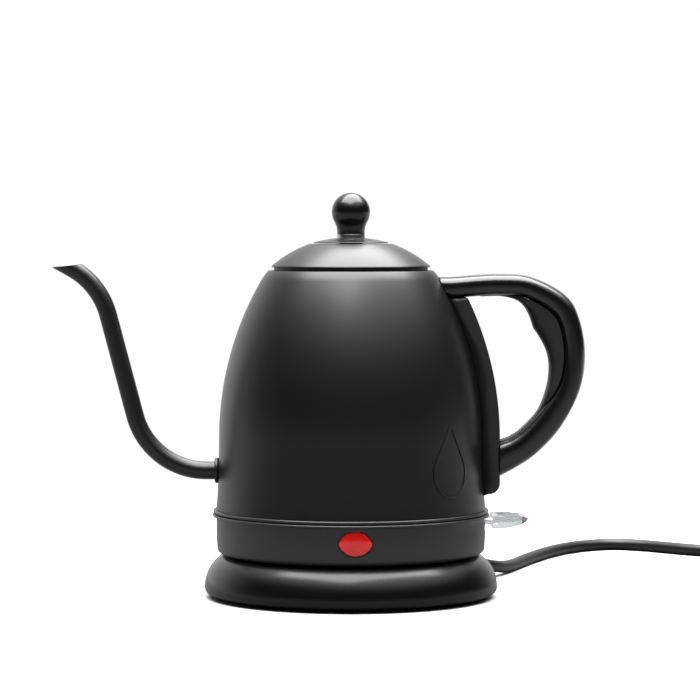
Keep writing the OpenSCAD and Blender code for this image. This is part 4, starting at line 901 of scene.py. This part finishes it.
NEAR_FLOOR, SEEN_FLOOR = 0.15, 0.66     # the floor's brightness in reflections and to the eye
FLOOR_FADE = (0.35, 0.75)               # distances over which the seen floor turns white
MIRROR_FADE = (0.4, 1.3)                # the same for the floor behind, in reflections
MIRROR_SIDE = (-0.5, 0.4)               # from the front's dark floor to the bright one behind
ROOM_AXIS = (-0.33, 1, 0)               # from the dark end of the room to the bright one
ROOM_STOPS = ((0.0, 0.003), (0.58, 0.01), (0.70, 0.12), (0.84, 0.70), (1.0, 1.3))
CEILING_AXIS, CEILING_EDGE, CEILING = (0.08, 0, 1), (0.45, 0.95), 2.5


def grey(value):
    return (value, value, value, 1)


def calc(nodes, links, step, one, two):
    """One Math node: each side is a socket or a number."""
    node = nodes.new("ShaderNodeMath")
    node.operation = step
    for socket, value in zip(node.inputs, (one, two)):
        if isinstance(value, (int, float)):
            socket.default_value = value
        else:
            links.new(value, socket)
    return node.outputs["Value"]


def vector(nodes, links, step, way, output):
    """One Vector Math node that takes a single vector."""
    node = nodes.new("ShaderNodeVectorMath")
    node.operation = step
    links.new(way, node.inputs[0])
    return node.outputs[output]


def along(nodes, links, way, axis):
    """How far a direction points along an axis, from -1 to 1."""
    value = vector(nodes, links, "DOT_PRODUCT", way, "Value")
    value.node.inputs[1].default_value = Vector(axis).normalized()
    return value


def smooth(nodes, links, value, ends, top=1.0):
    """A soft step from 0 to top between two ends."""
    node = nodes.new("ShaderNodeMapRange")
    node.interpolation_type = "SMOOTHSTEP"
    node.inputs["From Min"].default_value, node.inputs["From Max"].default_value = ends
    node.inputs["To Max"].default_value = top
    links.new(value, node.inputs["Value"])
    return node.outputs["Result"]


def mixed(nodes, links, share, one, two, blend="MIX"):
    """One colour Mix node: the share and each side are a socket or a value."""
    node = nodes.new("ShaderNodeMix")
    node.data_type = "RGBA"
    node.blend_type = blend
    for name, value in (("Factor", share), ("A", one), ("B", two)):
        if isinstance(value, bpy.types.NodeSocket):
            links.new(value, node.inputs[name])
        else:
            node.inputs[name].default_value = value
    return node.outputs["Result"]


def seen_directly(nodes):
    return nodes.new("ShaderNodeLightPath").outputs["Is Camera Ray"]


def white_floor():
    """A floor that keeps the shadow and turns white with distance."""
    nothing_selected()
    bpy.ops.mesh.primitive_plane_add(size=40, location=(0, 0, 0))
    ground = bpy.context.object
    ground.name = "floor"
    material = bpy.data.materials.new("floor")
    material.use_nodes = True
    nodes, links = material.node_tree.nodes, material.node_tree.links
    shader, out = nodes["Principled BSDF"], nodes["Material Output"]
    shader.inputs["Roughness"].default_value = 0.9
    shader.inputs["Specular IOR Level"].default_value = 0
    seen = seen_directly(nodes)
    shade = mixed(nodes, links, seen, grey(NEAR_FLOOR), grey(SEEN_FLOOR))
    links.new(shade, shader.inputs["Base Color"])
    place = nodes.new("ShaderNodeTexCoord").outputs["Object"]
    far = vector(nodes, links, "LENGTH", place, "Value")
    side = vector(nodes, links, "NORMALIZE", place, "Vector")
    backwards = along(nodes, links, side, (0, 1, 0))
    white = calc(nodes, links, "MULTIPLY", smooth(nodes, links, far, FLOOR_FADE), seen)
    behind = calc(nodes, links, "MULTIPLY", smooth(nodes, links, far, MIRROR_FADE),
                  smooth(nodes, links, backwards, MIRROR_SIDE))
    mirrored = calc(nodes, links, "MULTIPLY", behind,
                    calc(nodes, links, "SUBTRACT", 1.0, seen))
    glow = nodes.new("ShaderNodeEmission")
    blend = nodes.new("ShaderNodeMixShader")
    links.new(calc(nodes, links, "ADD", white, mirrored), blend.inputs["Fac"])
    links.new(shader.outputs["BSDF"], blend.inputs[1])
    links.new(glow.outputs["Emission"], blend.inputs[2])
    links.new(blend.outputs["Shader"], out.inputs["Surface"])
    ground.data.materials.append(material)


def room():
    """White to the eye. In reflections it is bright behind and overhead and dark in front."""
    world = bpy.data.worlds.new("room")
    bpy.context.scene.world = world
    world.use_nodes = True
    nodes, links = world.node_tree.nodes, world.node_tree.links
    way = nodes.new("ShaderNodeTexCoord").outputs["Generated"]
    depth = nodes.new("ShaderNodeMapRange")
    depth.inputs["From Min"].default_value = -1
    links.new(along(nodes, links, way, ROOM_AXIS), depth.inputs["Value"])
    ramp = nodes.new("ShaderNodeValToRGB")
    stops = ramp.color_ramp
    stops.interpolation = "B_SPLINE"
    while len(stops.elements) < len(ROOM_STOPS):
        stops.elements.new(0.5)
    for stop, (position, value) in zip(stops.elements, ROOM_STOPS):
        stop.position, stop.color = position, grey(value)
    links.new(depth.outputs["Result"], ramp.inputs["Fac"])
    ceiling = smooth(nodes, links, along(nodes, links, way, CEILING_AXIS), CEILING_EDGE, CEILING)
    light = mixed(nodes, links, 1, ramp.outputs["Color"], ceiling, "ADD")
    shade = mixed(nodes, links, seen_directly(nodes), light, grey(1))
    links.new(shade, nodes["Background"].inputs["Color"])


def softbox(name, place, size, power, target):
    nothing_selected()
    bpy.ops.object.light_add(type="AREA", location=place)
    lamp = bpy.context.object
    lamp.name = name
    lamp.data.shape = "RECTANGLE"
    lamp.data.size, lamp.data.size_y = size
    lamp.data.energy = power
    lamp.rotation_euler = (Vector(target) - Vector(place)).to_track_quat("-Z", "Y").to_euler()


EYE = (AXIS_X - 0.00046, -1.541, 0.1912)
EYE_TILT = 2.387            # how far the camera looks down, in degrees


def level_camera():
    nothing_selected()
    bpy.ops.object.camera_add(location=EYE, rotation=(math.radians(90 - EYE_TILT), 0, 0))
    camera = bpy.context.object
    camera.data.lens, camera.data.sensor_width = 154.3, 36
    camera.data.dof.use_dof = False
    bpy.context.scene.camera = camera


white_floor()
room()
softbox("overhead", (AXIS_X + 0.06, 0.06, 1.25), (1.3, 1.7), 66, (AXIS_X, 0, 0.05))
level_camera()
bpy.context.scene.view_settings.view_transform = "Standard"
